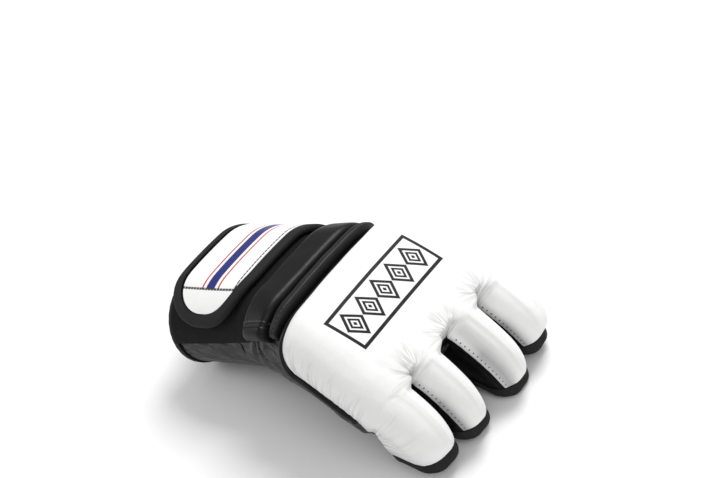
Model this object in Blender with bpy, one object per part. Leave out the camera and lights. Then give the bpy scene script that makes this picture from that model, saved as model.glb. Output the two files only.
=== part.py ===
"""Open-palm sparring glove for the right hand, lying palm down.

Metres, +Z up. The fingers point to +Y and the little finger is on the +X side.

Everything hangs on a hand form: a back line that bends from the wrist over the knuckles, with a
rounded section across it, and a shorter form of the same kind for each finger and the thumb. The form
is the outer face of the leather shell. A point on it is given by its place along the back line, its
girth and how far it stands off the form:

    girth 0 is the middle of the back, 1 the start of the upper corner, 2 its end, 3 the start of the
    lower corner, 4 its end and 5 the middle of the palm. It is negative on the index side.
"""

import math

import bmesh
import bpy
from mathutils import Vector

MM = 0.001

# Main sizes, along the back line and across the form
WRIST_LENGTH = 104 * MM
PALM_LENGTH = 67 * MM
WRIST_WIDTH = 81 * MM
WRIST_DEPTH = 49 * MM
KNUCKLE_WIDTH = 110 * MM
KNUCKLE_DEPTH = 33 * MM
BACK_CROWN = 2.5 * MM
REST_PITCH = 7

# Walls and clearances
SHELL_WALL = 1.6 * MM
CUFF_WALL = 2.0 * MM
THUMB_WALL = 1.8 * MM
WEB_THICKNESS = 1.4 * MM
SEAM_GAP = 0.35 * MM
LAYER_GAP = 0.6 * MM

# Padding on the back, from the fingers to the wrist
PAD_THICKNESS = 14 * MM
PAD_CORNER = 13 * MM
PAD_FADE = 24 * MM
PALM_FADE = 7 * MM
SEAM_WIDTH = 6.2 * MM
ROLL_WIDTH = 6.5 * MM
ROLL_THICKNESS = 7 * MM
BAND_WIDTH = 19.5 * MM
BAND_THICKNESS = 6.5 * MM
CUFF_FRONT = -46 * MM

# Edge tapes and piping
PIPING_RADIUS = 2.0 * MM
TAPE_WIDTH = 5 * MM
TAPE_THICKNESS = 0.9 * MM

# Closure, with the edge of the strap nearest the fingers
STRAP_FRONT = -40 * MM
STRAP_WIDTH = 61 * MM
STRAP_THICKNESS = 2.0 * MM
STRAP_END_POWER = 2.4
LOOP_THICKNESS = 1.4 * MM
PATCH_THICKNESS = 1.0 * MM

# Where the wrist's pieces start and end, as distances round from the middle of the back: the start is
# on the thumb's side
ROLL_REACH = (-46 * MM, 44 * MM)
BAND_REACH = (-54 * MM, 46 * MM)
LOOP_REACH = (-86 * MM, 58 * MM)
STRAP_REACH = (-80 * MM, 45 * MM)
PATCH_START = -62 * MM

# The hand form. place: -1 at the cuff's rim, 0 at the pad's wrist edge, 1 at the crotches of the
# fingers. slope: degrees down towards the fingers, before the glove tips forwards to rest. width,
# depth: 0 takes the wrist's size, 1 the knuckles'. corner: the corner radius, as a share of the largest
# that fits.
HAND_SECTIONS = (
    # place, slope, width, depth, corner
    (-1.00, -21, 0.05, 0.00, 0.98),
    (-0.60, -20, 0.00, 0.00, 0.98),
    (-0.35, -16, 0.12, 0.12, 0.96),
    (-0.15, -8, 0.38, 0.32, 0.90),
    (0.00, 1, 0.56, 0.48, 0.84),
    (0.25, 11, 0.72, 0.72, 0.80),
    (0.50, 18, 0.86, 0.88, 0.78),
    (0.75, 23, 0.95, 0.96, 0.78),
    (1.00, 28, 1.00, 1.00, 0.78),
)

# The fingers, from index to little. width, depth: the sleeve's size at its root. side: where its
# middle lies across the knuckles, from -1 to 1. back, palm: how long it is on either side. splay:
# degrees towards the little finger. curl: degrees that it bends along its back. taper: its size at
# the end, as a share of its root's.
FINGERS = {
    # name: width, depth, side, back, palm, splay, curl, taper
    "index": (23.0 * MM, 27 * MM, -0.787, 41 * MM, 16 * MM, -2.4, 32, 0.94),
    "middle": (26.4 * MM, 29 * MM, -0.306, 46 * MM, 18 * MM, -1.5, 34, 0.86),
    "ring": (26.0 * MM, 28 * MM, 0.300, 43 * MM, 17 * MM, 1.5, 34, 0.86),
    "little": (23.6 * MM, 27 * MM, 0.788, 40 * MM, 16.5 * MM, 1.6, 28, 0.93),
}
FINGER_CORNER = 0.74
FINGER_BARE = 7.5 * MM
FIRST, LAST = "index", "little"

# The thumb's sleeve. Each row is a section from its root at the wrist to its mouth: across, along and
# down give its middle, as shares of the knuckles' half width, the palm's length and the knuckles'
# depth. width, height: its size, as a share of the thumb's.
THUMB_WIDTH = 36 * MM
THUMB_HEIGHT = 27 * MM
THUMB_SECTIONS = (
    # across, along, down, width, height
    (-0.62, -0.34, 0.86, 0.45, 0.45),
    (-0.74, -0.12, 0.94, 0.72, 0.76),
    (-0.90, 0.14, 0.99, 0.92, 0.94),
    (-1.04, 0.38, 1.00, 0.98, 1.00),
    (-1.15, 0.60, 1.07, 0.94, 0.96),
    (-1.23, 0.79, 1.14, 0.90, 0.94),
)

# The opening in the palm: across as shares of the knuckles' half width, and along as shares of the
# palm from the cuff to the fingers. It starts at the middle of the front edge.
PALM_OPENING = (
    # across, along
    (0.00, 0.84),
    (0.42, 0.82),
    (0.67, 0.73),
    (0.71, 0.54),
    (0.60, 0.36),
    (0.45, 0.21),
    (0.32, 0.12),
    (0.00, 0.10),
    (-0.26, 0.12),
    (-0.38, 0.24),
    (-0.50, 0.44),
    (-0.62, 0.62),
    (-0.62, 0.76),
    (-0.38, 0.82),
)
THUMB_PANEL_FRONT = 0.72

# Girths of the columns round a section, on one side of it, and of the edges of the pieces on the back.
# The piping's are those at the wrist and at the crotches.
HAND_GIRTHS = (0, 1, 1.2, 1.4, 1.6, 1.8, 2, 3, 3.25, 3.5, 3.75, 4, 5)
FINGER_GIRTHS = (0, 1, 1.33, 1.67, 2, 3, 3.33, 3.67, 4, 5)
WEB_GIRTHS = (1.8, 2, 3, 3.33, 3.67)
PAD_EDGE = 1.86
LINING_EDGE = 1.82
PALM_EDGE = 1.96
PIPING_GIRTHS = (1.97, 2.18)

# How much of the pad's thickness stands at a girth: beside a narrow slot between two fingers, beside
# the wide one between middle and ring, and on the glove's outer sides
INNER_LOFT = ((1.75, 0.05), (1.5, 0.22), (1.25, 0.62), (1.0, 0.90), (0.0, 1.0))
WIDE_LOFT = ((1.5, 0.16), (1.25, 0.60), (1.0, 0.88), (0.0, 1.0))
OUTER_LOFT = ((PAD_EDGE, 0.14), (1.75, 0.34), (1.5, 0.62), (1.25, 0.82), (1.0, 0.94), (0.0, 1.0))

# Rows of the pad, as distances from its wrist edge and from the finger ends, and the share of its
# thickness there. Between them, its rows as shares of the palm's length and of the finger's.
PAD_WRIST_ROWS = ((0.0, 0.24), (1.2 * MM, 0.55), (4 * MM, 0.84), (10 * MM, 1.0))
PAD_PALM_ROWS = (0.36, 0.58, 0.74, 0.88, 1.0)
PAD_FINGER_ROWS = (0.12, 0.42)
PAD_TIP_ROWS = ((12 * MM, 0.94), (5 * MM, 0.74), (1.5 * MM, 0.48), (0.0, 0.20))

COLOURS = {
    # name: colour, roughness
    "white_leather": ((0.86, 0.86, 0.85, 1), 0.42),
    "black_leather": ((0.018, 0.018, 0.019, 1), 0.38),
    "black_tape": ((0.030, 0.030, 0.032, 1), 0.70),
    "black_loop": ((0.010, 0.010, 0.011, 1), 0.95),
    "black_lining": ((0.014, 0.014, 0.015, 1), 0.85),
}


def clear_scene():
    for old in list(bpy.data.objects):
        bpy.data.objects.remove(old, do_unlink=True)


def material(name):
    """The Principled material of one of the colours above."""
    found = bpy.data.materials.get(name)
    if found:
        return found
    made = bpy.data.materials.new(name)
    made.use_nodes = True
    shader = made.node_tree.nodes["Principled BSDF"]
    colour, roughness = COLOURS[name]
    shader.inputs["Base Color"].default_value = colour
    shader.inputs["Roughness"].default_value = roughness
    shader.inputs["Metallic"].default_value = 0.0
    made.diffuse_color = colour
    return made


def mix(a, b, share):
    return a + (b - a) * share


def smooth(share):
    share = min(1.0, max(0.0, share))
    return share * share * (3 - 2 * share)


def along_rows(rows, place):
    """The columns of a table after the first, at a place between its rows, on a smooth curve."""
    last = len(rows) - 2
    at = next((i for i in range(last) if place < rows[i + 1][0]), last)
    before, low = rows[max(at - 1, 0)], rows[at]
    high, after = rows[at + 1], rows[min(at + 2, last + 1)]
    span = high[0] - low[0]
    t = (place - low[0]) / span
    found = []
    for column in range(1, len(low)):
        start = span * (high[column] - before[column]) / (high[0] - before[0])
        end = span * (after[column] - low[column]) / (after[0] - low[0])
        found.append(
            (2 * t**3 - 3 * t**2 + 1) * low[column]
            + (t**3 - 2 * t**2 + t) * start
            + (3 * t**2 - 2 * t**3) * high[column]
            + (t**3 - t**2) * end
        )
    return found


class Section:
    """A rounded rectangle across the form. Its top middle is the point (0, 0)."""

    def __init__(self, width, depth, corner):
        self.half = width / 2
        self.depth = depth
        self.radius = corner * min(self.half, depth / 2)
        self.flat = self.half - self.radius
        self.side = depth - 2 * self.radius
        quarter = self.radius * math.pi / 2
        self.spans = (self.flat, quarter, self.side, quarter, self.flat)

    def point(self, girth, out=0.0):
        """(across, up) of the point at this girth, which stands off the section by out."""
        g = abs(girth)
        sign = 1 if girth >= 0 else -1
        if g <= 1:
            x, up, nx, nup = g * self.flat, 0.0, 0.0, 1.0
        elif g <= 2:
            nx, nup = math.sin((g - 1) * math.pi / 2), math.cos((g - 1) * math.pi / 2)
            x, up = self.flat + self.radius * nx, self.radius * (nup - 1)
        elif g <= 3:
            x, up, nx, nup = self.half, -self.radius - (g - 2) * self.side, 1.0, 0.0
        elif g <= 4:
            nx, nup = math.cos((g - 3) * math.pi / 2), -math.sin((g - 3) * math.pi / 2)
            x, up = self.flat + self.radius * nx, -self.depth + self.radius * (1 + nup)
        else:
            x, up, nx, nup = (5 - g) * self.flat, -self.depth, 0.0, -1.0
        return sign * (x + out * nx), up + out * nup

    def girth_on_top(self, across):
        """The girth of the point of the upper side that lies this far across."""
        x = abs(across)
        sign = 1 if across >= 0 else -1
        if x <= self.flat:
            return sign * x / self.flat
        lean = min(1.0, (x - self.flat) / self.radius)
        return sign * (1 + math.asin(lean) * 2 / math.pi)

    def girth_below(self, across):
        """The girth of the point of the lower side that lies this far across."""
        x = abs(across)
        sign = 1 if across >= 0 else -1
        if x <= self.flat:
            return sign * (5 - x / self.flat)
        lean = min(1.0, (x - self.flat) / self.radius)
        return sign * (3 + math.acos(lean) * 2 / math.pi)

    def girth_round(self, distance):
        """The girth of the point this far round from the middle of the top."""
        left = abs(distance)
        sign = 1 if distance >= 0 else -1
        for zone, span in enumerate(self.spans):
            if left <= span:
                return sign * (zone + left / span)
            left -= span
        return sign * 5.0

    def distance_round(self, girth):
        """How far round the point at this girth lies from the middle of the top."""
        g = abs(girth)
        zone = min(int(g), 4)
        return sum(self.spans[:zone]) + (g - zone) * self.spans[zone]


LINE_STEP = 1 * MM
RUN_ON = 6 * MM


def place_of(s):
    """The place in HAND_SECTIONS of the point s along the back line."""
    return s / PALM_LENGTH if s >= 0 else s / WRIST_LENGTH


def hand_slope(s):
    return math.radians(along_rows(HAND_SECTIONS, place_of(s))[0] + REST_PITCH)


def hand_section(s):
    _, width, depth, corner = along_rows(HAND_SECTIONS, place_of(s))
    width = mix(WRIST_WIDTH, KNUCKLE_WIDTH, width)
    return Section(width, mix(WRIST_DEPTH, KNUCKLE_DEPTH, depth), min(corner, 0.98))


def back_line(length, slope):
    """Points a step apart along a line from the origin that takes this slope."""
    steps = math.ceil(abs(length) / LINE_STEP)
    step = length / steps
    points = [Vector((0, 0, 0))]
    for i in range(steps):
        angle = slope((i + 0.5) * step)
        points.append(points[-1] + step * Vector((0, math.cos(angle), -math.sin(angle))))
    return points


def on_line(points, length, s):
    """The point s along a line made by back_line, run on past its ends."""
    at = s / length * (len(points) - 1)
    low = min(max(int(at), 0), len(points) - 2)
    return points[low] + (points[low + 1] - points[low]) * (at - low)


HAND_LINE = back_line(PALM_LENGTH + RUN_ON, hand_slope)
WRIST_LINE = back_line(-WRIST_LENGTH - RUN_ON, hand_slope)


def hand_frame(s):
    """Origin, across, along and up of the form's section at s."""
    if s >= 0:
        origin = on_line(HAND_LINE, PALM_LENGTH + RUN_ON, s)
    else:
        origin = on_line(WRIST_LINE, -WRIST_LENGTH - RUN_ON, s)
    slope = hand_slope(s)
    along = Vector((0, math.cos(slope), -math.sin(slope)))
    up = Vector((0, math.sin(slope), math.cos(slope)))
    return origin, Vector((1, 0, 0)), along, up


def crown(x, half, up, depth):
    """How far the form's back falls away towards its sides."""
    return BACK_CROWN * (x / half) ** 2 * max(0.0, 1 + up / depth)


def hand_point(s, girth, out=0.0):
    origin, across, _, up = hand_frame(s)
    section = hand_section(s)
    x, h = section.point(girth, out)
    on_x, on_h = section.point(girth)
    return origin + across * x + up * (h - crown(on_x, section.half, on_h, section.depth))


def wrist_point(distance, s, out):
    """A point this far round from the middle of the back, and off the form."""
    return hand_point(s, hand_section(s).girth_round(distance), out)


class Finger:
    """The form of one finger's sleeve. Its root is the section at the crotches."""

    def __init__(self, name):
        row = FINGERS[name]
        self.width, self.depth, side, self.back, self.palm, splay, curl, self.taper = row
        self.root = side * KNUCKLE_WIDTH / 2
        self.splay, self.curl = math.radians(splay), math.radians(curl)
        steps = math.ceil(self.back / LINE_STEP)
        self.step = self.back / steps
        self.line = [self.frame_at(0)]
        for i in range(steps):
            origin = self.line[-1][0] + self.frame_at((i + 0.5) * self.step)[2] * self.step
            self.line.append((origin, *self.frame_at((i + 1) * self.step)[1:]))

    def frame_at(self, t):
        """The root's origin, with the directions that hold at t along the finger."""
        origin, side, _, _ = hand_frame(PALM_LENGTH)
        slope = hand_slope(PALM_LENGTH) + self.curl * t / self.back
        turn = self.splay * smooth(3 * t / self.back)
        ahead = Vector((0, math.cos(slope), -math.sin(slope)))
        up = Vector((0, math.sin(slope), math.cos(slope)))
        along = ahead * math.cos(turn) + side * math.sin(turn)
        across = side * math.cos(turn) - ahead * math.sin(turn)
        return origin + side * self.root, across, along, up

    def section(self, t):
        share = mix(1, self.taper, t / self.back)
        return Section(self.width * share, self.depth * share, FINGER_CORNER)

    def point(self, t, girth, out=0.0):
        low = int(min(max(t / self.step, 0), len(self.line) - 1))
        origin, across, along, up = self.line[low]
        section = self.section(t)
        x, h = section.point(girth, out)
        on_x, on_h = section.point(girth)
        fall = crown(self.root + on_x, KNUCKLE_WIDTH / 2, on_h, section.depth)
        return origin + along * (t - low * self.step) + across * x + up * (h - fall)

    def mouth(self, girth):
        """Where the sleeve ends at this girth: far along on the back and near on the palm."""
        return mix(self.back, self.palm, smooth((abs(girth) - 1) / 3.4))

    def before_mouth(self, girth, distance, out):
        """The point this distance back from the sleeve's end."""
        end = self.mouth(girth)
        reach = (self.point(end, girth) - self.point(end - LINE_STEP, girth)).length
        return self.point(end - distance * LINE_STEP / reach, girth, out)


FINGER_FORMS = {name: Finger(name) for name in FINGERS}
FADE_START = PALM_LENGTH - PAD_FADE


def knuckle_girth(name, girth):
    """The girth of the hand's section at the crotches that meets a finger's girth at its root."""
    finger = FINGER_FORMS[name]
    outer = (name == LAST and girth >= 2) or (name == FIRST and girth <= -2)
    if outer and abs(girth) <= 3:
        return girth
    across = finger.root + finger.section(0).point(girth)[0]
    section = hand_section(PALM_LENGTH)
    if abs(girth) <= 2:
        return section.girth_on_top(across)
    return section.girth_below(across)


def shell_point(name, girth, s, out=0.0):
    """A point of the form on the column that runs into this girth of a finger. The hand's section
    turns into the fingers' own over the last stretch before the crotches."""
    if s >= PALM_LENGTH:
        return FINGER_FORMS[name].point(s - PALM_LENGTH, girth, out)
    meeting = knuckle_girth(name, girth)
    on_hand = hand_point(s, meeting, out)
    fade = mix(PAD_FADE, PALM_FADE, min(1, max(0, abs(girth) - 2)))
    share = smooth((s - PALM_LENGTH + fade) / fade)
    if share == 0:
        return on_hand
    lift = FINGER_FORMS[name].point(0, girth, out) - hand_point(PALM_LENGTH, meeting, out)
    _, across, along, up = hand_frame(s)
    _, _, root_along, root_up = hand_frame(PALM_LENGTH)
    moved = across * lift.x + along * lift.dot(root_along) + up * lift.dot(root_up)
    return on_hand + moved * share


def palm_point(across, s, out=0.0):
    """The point of the form's palm side this far across."""
    return hand_point(s, hand_section(s).girth_below(across), out)


def palm_run():
    """How far along the palm each step of the back line lies, from the cuff to the crotches."""
    steps = math.ceil((PALM_LENGTH - CUFF_FRONT) / LINE_STEP)
    rows = [(0.0, CUFF_FRONT)]
    for i in range(steps):
        s = mix(CUFF_FRONT, PALM_LENGTH, (i + 1) / steps)
        rows.append((rows[-1][0] + (palm_point(0, s) - palm_point(0, rows[-1][1])).length, s))
    return rows


PALM_RUN = palm_run()
PALM_REACH = PALM_RUN[-1][0]


def palm_place(share):
    """The place on the back line of the point this share of the way along the palm."""
    return along_rows(PALM_RUN, share * PALM_REACH)[0]


def link(name, data, colour, smooth_angle=40):
    """A new object of this name, in the glove's collection and with its material."""
    made = bpy.data.objects.new(name, data)
    bpy.data.collections["glove"].objects.link(made)
    data.materials.append(material(colour))
    if made.type == "MESH":
        data.shade_smooth()
        data.set_sharp_from_angle(angle=math.radians(smooth_angle))
    return made


def to_mesh(bm):
    """The mesh of a closed shape, with its faces turned out."""
    bmesh.ops.recalc_face_normals(bm, faces=bm.faces)
    if bm.calc_volume(signed=True) < 0:
        bmesh.ops.reverse_faces(bm, faces=bm.faces)
    mesh = bpy.data.meshes.new("shape")
    bm.to_mesh(mesh)
    bm.free()
    return mesh


def sheet(name, colour, columns, rows, place, missing=None):
    """A padded or flat piece between an inner and an outer face. place(column, row, outer) gives a
    point, and missing(i, j) is true for the cells of the grid that are slots."""
    bm = bmesh.new()
    across, along = len(columns) - 1, len(rows) - 1
    bmesh.ops.create_grid(bm, x_segments=across, y_segments=along, size=1)
    number = bm.verts.layers.int.new("number")
    for vertex in bm.verts:
        i = round((vertex.co.x + 1) / 2 * across)
        j = round((vertex.co.y + 1) / 2 * along)
        vertex[number] = i * len(rows) + j
    if missing:
        cells = []
        for face in bm.faces:
            centre = face.calc_center_median()
            i = int((centre.x + 1) / 2 * across)
            j = int((centre.y + 1) / 2 * along)
            if missing(i, j):
                cells.append(face)
        bmesh.ops.delete(bm, geom=cells, context="FACES")
    grown = bmesh.ops.extrude_face_region(bm, geom=bm.faces[:])
    outer = {item for item in grown["geom"] if isinstance(item, bmesh.types.BMVert)}
    for vertex in bm.verts:
        i, j = divmod(vertex[number], len(rows))
        vertex.co = place(columns[i], rows[j], vertex in outer)
    return link(name, to_mesh(bm), colour)


def loop(name, colour, columns, profile, place):
    """A closed ring: its profile, a closed outline, goes round the columns. place(column, point)."""
    bpy.ops.mesh.primitive_torus_add(
        major_segments=len(columns), minor_segments=len(profile), major_radius=1, minor_radius=0.2
    )
    ring = bpy.context.active_object
    bm = bmesh.new()
    bm.from_mesh(ring.data)
    bpy.data.objects.remove(ring)
    for vertex in bm.verts:
        i, j = divmod(vertex.index, len(profile))
        vertex.co = place(columns[i], profile[j])
    return link(name, to_mesh(bm), colour)


def cord(name, colour, points, radius):
    """A round piping along these points, with closed ends."""
    curve = bpy.data.curves.new(name, "CURVE")
    curve.dimensions = "3D"
    curve.bevel_depth = radius
    curve.bevel_resolution = 1
    curve.use_fill_caps = True
    spline = curve.splines.new("POLY")
    spline.points.add(len(points) - 1)
    for point, co in zip(spline.points, points):
        point.co = (*co, 1)
    return link(name, curve, colour)


def plug(name, columns, rows, place):
    """A closed cutter: a stack of rings. place(column, row) gives a point."""
    bm = bmesh.new()
    bmesh.ops.create_cone(
        bm, cap_ends=True, segments=len(columns), radius1=1, radius2=1, depth=2
    )
    sides = [e for e in bm.edges if abs(e.verts[0].co.z - e.verts[1].co.z) > 1]
    if len(rows) > 2:
        bmesh.ops.subdivide_edges(bm, edges=sides, cuts=len(rows) - 2, use_grid_fill=True)
    for vertex in bm.verts:
        turn = math.atan2(vertex.co.x, vertex.co.y) / (2 * math.pi)
        i = round(turn * len(columns)) % len(columns)
        j = round((vertex.co.z + 1) / 2 * (len(rows) - 1))
        vertex.co = place(columns[i], rows[j])
    made = bpy.data.objects.new(name, to_mesh(bm))
    bpy.data.collections["cutters"].objects.link(made)
    made.hide_render = True
    made.display_type = "WIRE"
    return made


def cut(piece, tool):
    modifier = piece.modifiers.new("cut", "BOOLEAN")
    modifier.operation = "DIFFERENCE"
    modifier.solver = "EXACT"
    modifier.object = tool


def both_sides(girths):
    """The girths of a whole ring, once round, from those of one side."""
    return [-g for g in reversed(girths) if 0 < g < 5] + list(girths)


def spread(low, high, count):
    """Evenly spaced values from low to high."""
    return [mix(low, high, i / (count - 1)) for i in range(count)]


def wall(rows, inner, outer):
    """A wall's outline for loop: along the rows on its outer face and back on its inner one."""
    return [(row, outer) for row in rows] + [(row, inner) for row in reversed(rows)]


def edge_tape(inner, outer, width):
    """A tape's outline, folded over a wall's edge, as distances back from the edge and off the form."""
    low, high = outer + LAYER_GAP, outer + LAYER_GAP + TAPE_THICKNESS
    under, under_low = inner - LAYER_GAP, inner - LAYER_GAP - TAPE_THICKNESS
    return [
        (width, low),
        (width, high),
        (0.0, high),
        (-2 * SEAM_GAP - TAPE_THICKNESS, mix(inner, outer, 0.5)),
        (0.0, under_low),
        (width, under_low),
        (width, under),
        (-2 * SEAM_GAP, under),
        (-2 * SEAM_GAP, low),
    ]


def make_cuff():
    girths = both_sides(HAND_GIRTHS)

    def place(girth, point):
        return hand_point(point[0], girth, point[1])

    rows = spread(-WRIST_LENGTH, CUFF_FRONT - SEAM_GAP, 4)
    loop("cuff", "black_leather", girths, wall(rows, -CUFF_WALL, 0.0), place)
    tape = edge_tape(-CUFF_WALL, 0.0, STRAP_FRONT - STRAP_WIDTH + WRIST_LENGTH - SEAM_GAP)
    tape = [(back - WRIST_LENGTH, out) for back, out in tape]
    loop("cuff_tape", "black_tape", girths, tape, place)


def pad_columns():
    """The pad's columns, as (finger, girth, share of its thickness on the hand, and on the finger)."""
    columns = []
    for name in FINGERS:
        left = OUTER_LOFT if name == FIRST else WIDE_LOFT if name == "ring" else INNER_LOFT
        right = OUTER_LOFT if name == LAST else WIDE_LOFT if name == "middle" else INNER_LOFT
        for girth, loft in left:
            columns.append((name, -girth, loft if name == FIRST else 1.0, loft))
        for girth, loft in reversed(right[:-1]):
            columns.append((name, girth, loft if name == LAST else 1.0, loft))
    return columns


def pad_rows():
    """The pad's rows, as (zone, place, share of the thickness)."""
    rows = [("palm", s, share) for s, share in PAD_WRIST_ROWS]
    rows += [("palm", share * PALM_LENGTH, 1.0) for share in PAD_PALM_ROWS]
    rows += [("finger", share, 1.0) for share in PAD_FINGER_ROWS]
    rows += [("tip", back, share) for back, share in PAD_TIP_ROWS]
    return rows


def corner_inset(name, girth, s):
    """How far the pad's wrist edge stands back at this girth, to round its corners."""
    section = hand_section(s)
    edge = section.distance_round(PAD_EDGE)
    reach = edge - section.distance_round(knuckle_girth(name, girth))
    lack = min(1.0, max(0.0, 1 - reach / PAD_CORNER))
    return PAD_CORNER * (1 - math.sqrt(1 - lack * lack))


def pad_point(column, row, outer):
    name, girth, hand_loft, finger_loft = column
    zone, value, share = row
    reach = FINGER_FORMS[name].mouth(girth) - FINGER_BARE
    if zone == "palm":
        left = 1 - value / PALM_LENGTH
        s = value + corner_inset(name, girth, value) * left * left
    else:
        s = PALM_LENGTH + (value * reach if zone == "finger" else reach - value)
    out = LAYER_GAP
    if outer:
        loft = mix(hand_loft, finger_loft, smooth((s - FADE_START) / PAD_FADE))
        out += PAD_THICKNESS * loft * share
    return shell_point(name, girth, s, out)


def make_pad():
    columns, rows = pad_columns(), pad_rows()
    crotch = len(PAD_WRIST_ROWS) + len(PAD_PALM_ROWS) - 1

    def is_slot(i, j):
        return columns[i][0] != columns[i + 1][0] and j >= crotch

    sheet("hand_pad", "white_leather", columns, rows, pad_point, is_slot)


def make_lining():
    columns = [(FIRST, -g) for g in (LINING_EDGE, 1.5)]
    for name in FINGERS:
        columns += [(name, g) for g in (-1.75, -1, 0, 1, 1.75)]
    columns = [c for c in columns if c not in ((FIRST, -1.75), (LAST, 1.75))]
    columns += [(LAST, g) for g in (1.5, LINING_EDGE)]
    rows = spread(CUFF_FRONT + SEAM_GAP, 0.0, 5)
    rows += [share * PALM_LENGTH for share in PAD_PALM_ROWS[:-1]] + [PALM_LENGTH - SEAM_GAP]

    def place(column, row, outer):
        return shell_point(*column, row, 0.0 if outer else -SHELL_WALL)

    sheet("back_lining", "black_lining", columns, rows, place)


def make_finger(name):
    finger = FINGER_FORMS[name]
    girths = both_sides(FINGER_GIRTHS)

    def sleeve_place(girth, point):
        return finger.point(mix(SEAM_GAP, finger.mouth(girth), point[0]), girth, point[1])

    def tape_place(girth, point):
        return finger.before_mouth(girth, *point)

    sleeve = wall(spread(0, 1, 5), -SHELL_WALL, 0.0)
    loop(name + "_sleeve", "black_leather", girths, sleeve, sleeve_place)
    tape = edge_tape(-SHELL_WALL, 0.0, FINGER_BARE - 3 * SEAM_GAP)
    loop(name + "_tape", "black_tape", girths, tape, tape_place)


def make_web(left, right):
    """The wall between two fingers' sleeves, at their crotch."""
    def place(column, girth, outer):
        finger, side = column
        return finger.point(SEAM_GAP + (WEB_THICKNESS if outer else 0), side * girth, SEAM_GAP)

    ends = [(FINGER_FORMS[left], 1), (FINGER_FORMS[right], -1)]
    sheet(left + "_web", "black_leather", ends, WEB_GIRTHS, place)


def opening_outline():
    """Points of the palm opening's edge as (across, along the palm), on a smooth closed curve."""
    count, steps = len(PALM_OPENING), 2
    points = []
    for i in range(count):
        a, b, c, d = (PALM_OPENING[(i + k) % count] for k in (-1, 0, 1, 2))
        for step in range(steps):
            t = step / steps
            x, along = (
                b[k]
                + t * (c[k] - a[k]) / 2
                + t * t * (2 * a[k] - 5 * b[k] + 4 * c[k] - d[k]) / 2
                + t**3 * (3 * b[k] - a[k] - 3 * c[k] + d[k]) / 2
                for k in (0, 1)
            )
            points.append((x * KNUCKLE_WIDTH / 2, along * PALM_REACH))
    return points


def opening_rim():
    """The outline's points with the directions that lead away from the opening there."""
    points = opening_outline()
    rim = []
    for i, (x, along) in enumerate(points):
        next_x, next_along = points[(i + 1) % len(points)]
        last_x, last_along = points[i - 1]
        length = math.hypot(next_x - last_x, next_along - last_along)
        rim.append((x, along, -(next_along - last_along) / length, (next_x - last_x) / length))
    return rim


def rim_point(rim, back, out):
    x, along, away_x, away_along = rim
    share = (along + back * away_along) / PALM_REACH
    return palm_point(x + back * away_x, palm_place(share), out)


def make_palm(thumb_hollow):
    """The palm's leather in two pieces, black and the thumb's white, and the tape round its opening."""
    rim = opening_rim()
    hole = plug(
        "palm_cutter", rim, (-16 * MM, 10 * MM), lambda point, out: rim_point(point, 0, out)
    )
    corner = (PALM_EDGE, 2, 3, 3.25, 3.5, 3.75)
    columns = [(FIRST, -g) for g in corner]
    for name in FINGERS:
        left = () if name == FIRST else (-3.5,)
        right = () if name == LAST else (3.5,)
        columns += [(name, g) for g in (*left, -4, -5, 4, *right)]
    columns += [(LAST, g) for g in reversed(corner)]
    rows = spread(0.0, 1 - PALM_FADE / PALM_REACH, 10) + [1.0]
    side = next(i for i, c in enumerate(columns) if c == ("middle", -5))
    front = round(THUMB_PANEL_FRONT * (len(rows) - 1))

    def place(column, share, outer):
        s = min(max(palm_place(share), CUFF_FRONT + SEAM_GAP), PALM_LENGTH - SEAM_GAP)
        return shell_point(*column, s, 0.0 if outer else -SHELL_WALL)

    def is_thumbs(i, j):
        return i < side and j < front

    leather = sheet("palm_leather", "black_leather", columns, rows, place, is_thumbs)
    cut(leather, hole)
    cut(leather, thumb_hollow)

    def thumb_place(column, share, outer):
        share = min(share, rows[front] - SEAM_GAP / PALM_REACH)
        point = place(column, share, outer)
        if column == columns[side]:
            point.x -= SEAM_GAP
        return point

    panel = sheet(
        "thumb_panel", "white_leather", columns[: side + 1], rows[: front + 1], thumb_place
    )
    cut(panel, hole)
    cut(panel, thumb_hollow)
    tape = edge_tape(-SHELL_WALL, 0.0, TAPE_WIDTH)
    loop("palm_tape", "black_tape", rim, tape, lambda point, at: rim_point(point, *at))


class Thumb:
    """The thumb's sleeve: oval sections along a line from the wrist to its mouth."""

    def __init__(self):
        self.rows = []
        for i, (across, along, down, width, height) in enumerate(THUMB_SECTIONS):
            origin, side, _, up = hand_frame(along * PALM_LENGTH)
            middle = origin + side * (across * KNUCKLE_WIDTH / 2) - up * (down * KNUCKLE_DEPTH)
            place = i / (len(THUMB_SECTIONS) - 1)
            self.rows.append((place, *middle, width * THUMB_WIDTH, height * THUMB_HEIGHT))
        ends = [Vector(row[1:4]) for row in self.rows]
        self.length = sum((b - a).length for a, b in zip(ends, ends[1:]))

    def point(self, place, turn, out):
        """place runs from 0 at the root to 1 at the mouth, and turn from 0 to 1 round the oval."""
        x, y, z, width, height = along_rows(self.rows, place)
        ahead = along_rows(self.rows, place + 0.02)
        behind = along_rows(self.rows, place - 0.02)
        along = (Vector(ahead[:3]) - Vector(behind[:3])).normalized()
        across = along.cross(Vector((0, 0, 1))).normalized()
        up = across.cross(along)
        angle = turn * 2 * math.pi
        on_x = (width / 2 + out) * math.sin(angle)
        on_up = (height / 2 + out) * math.cos(angle)
        return Vector((x, y, z)) + across * on_x + up * on_up


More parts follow.
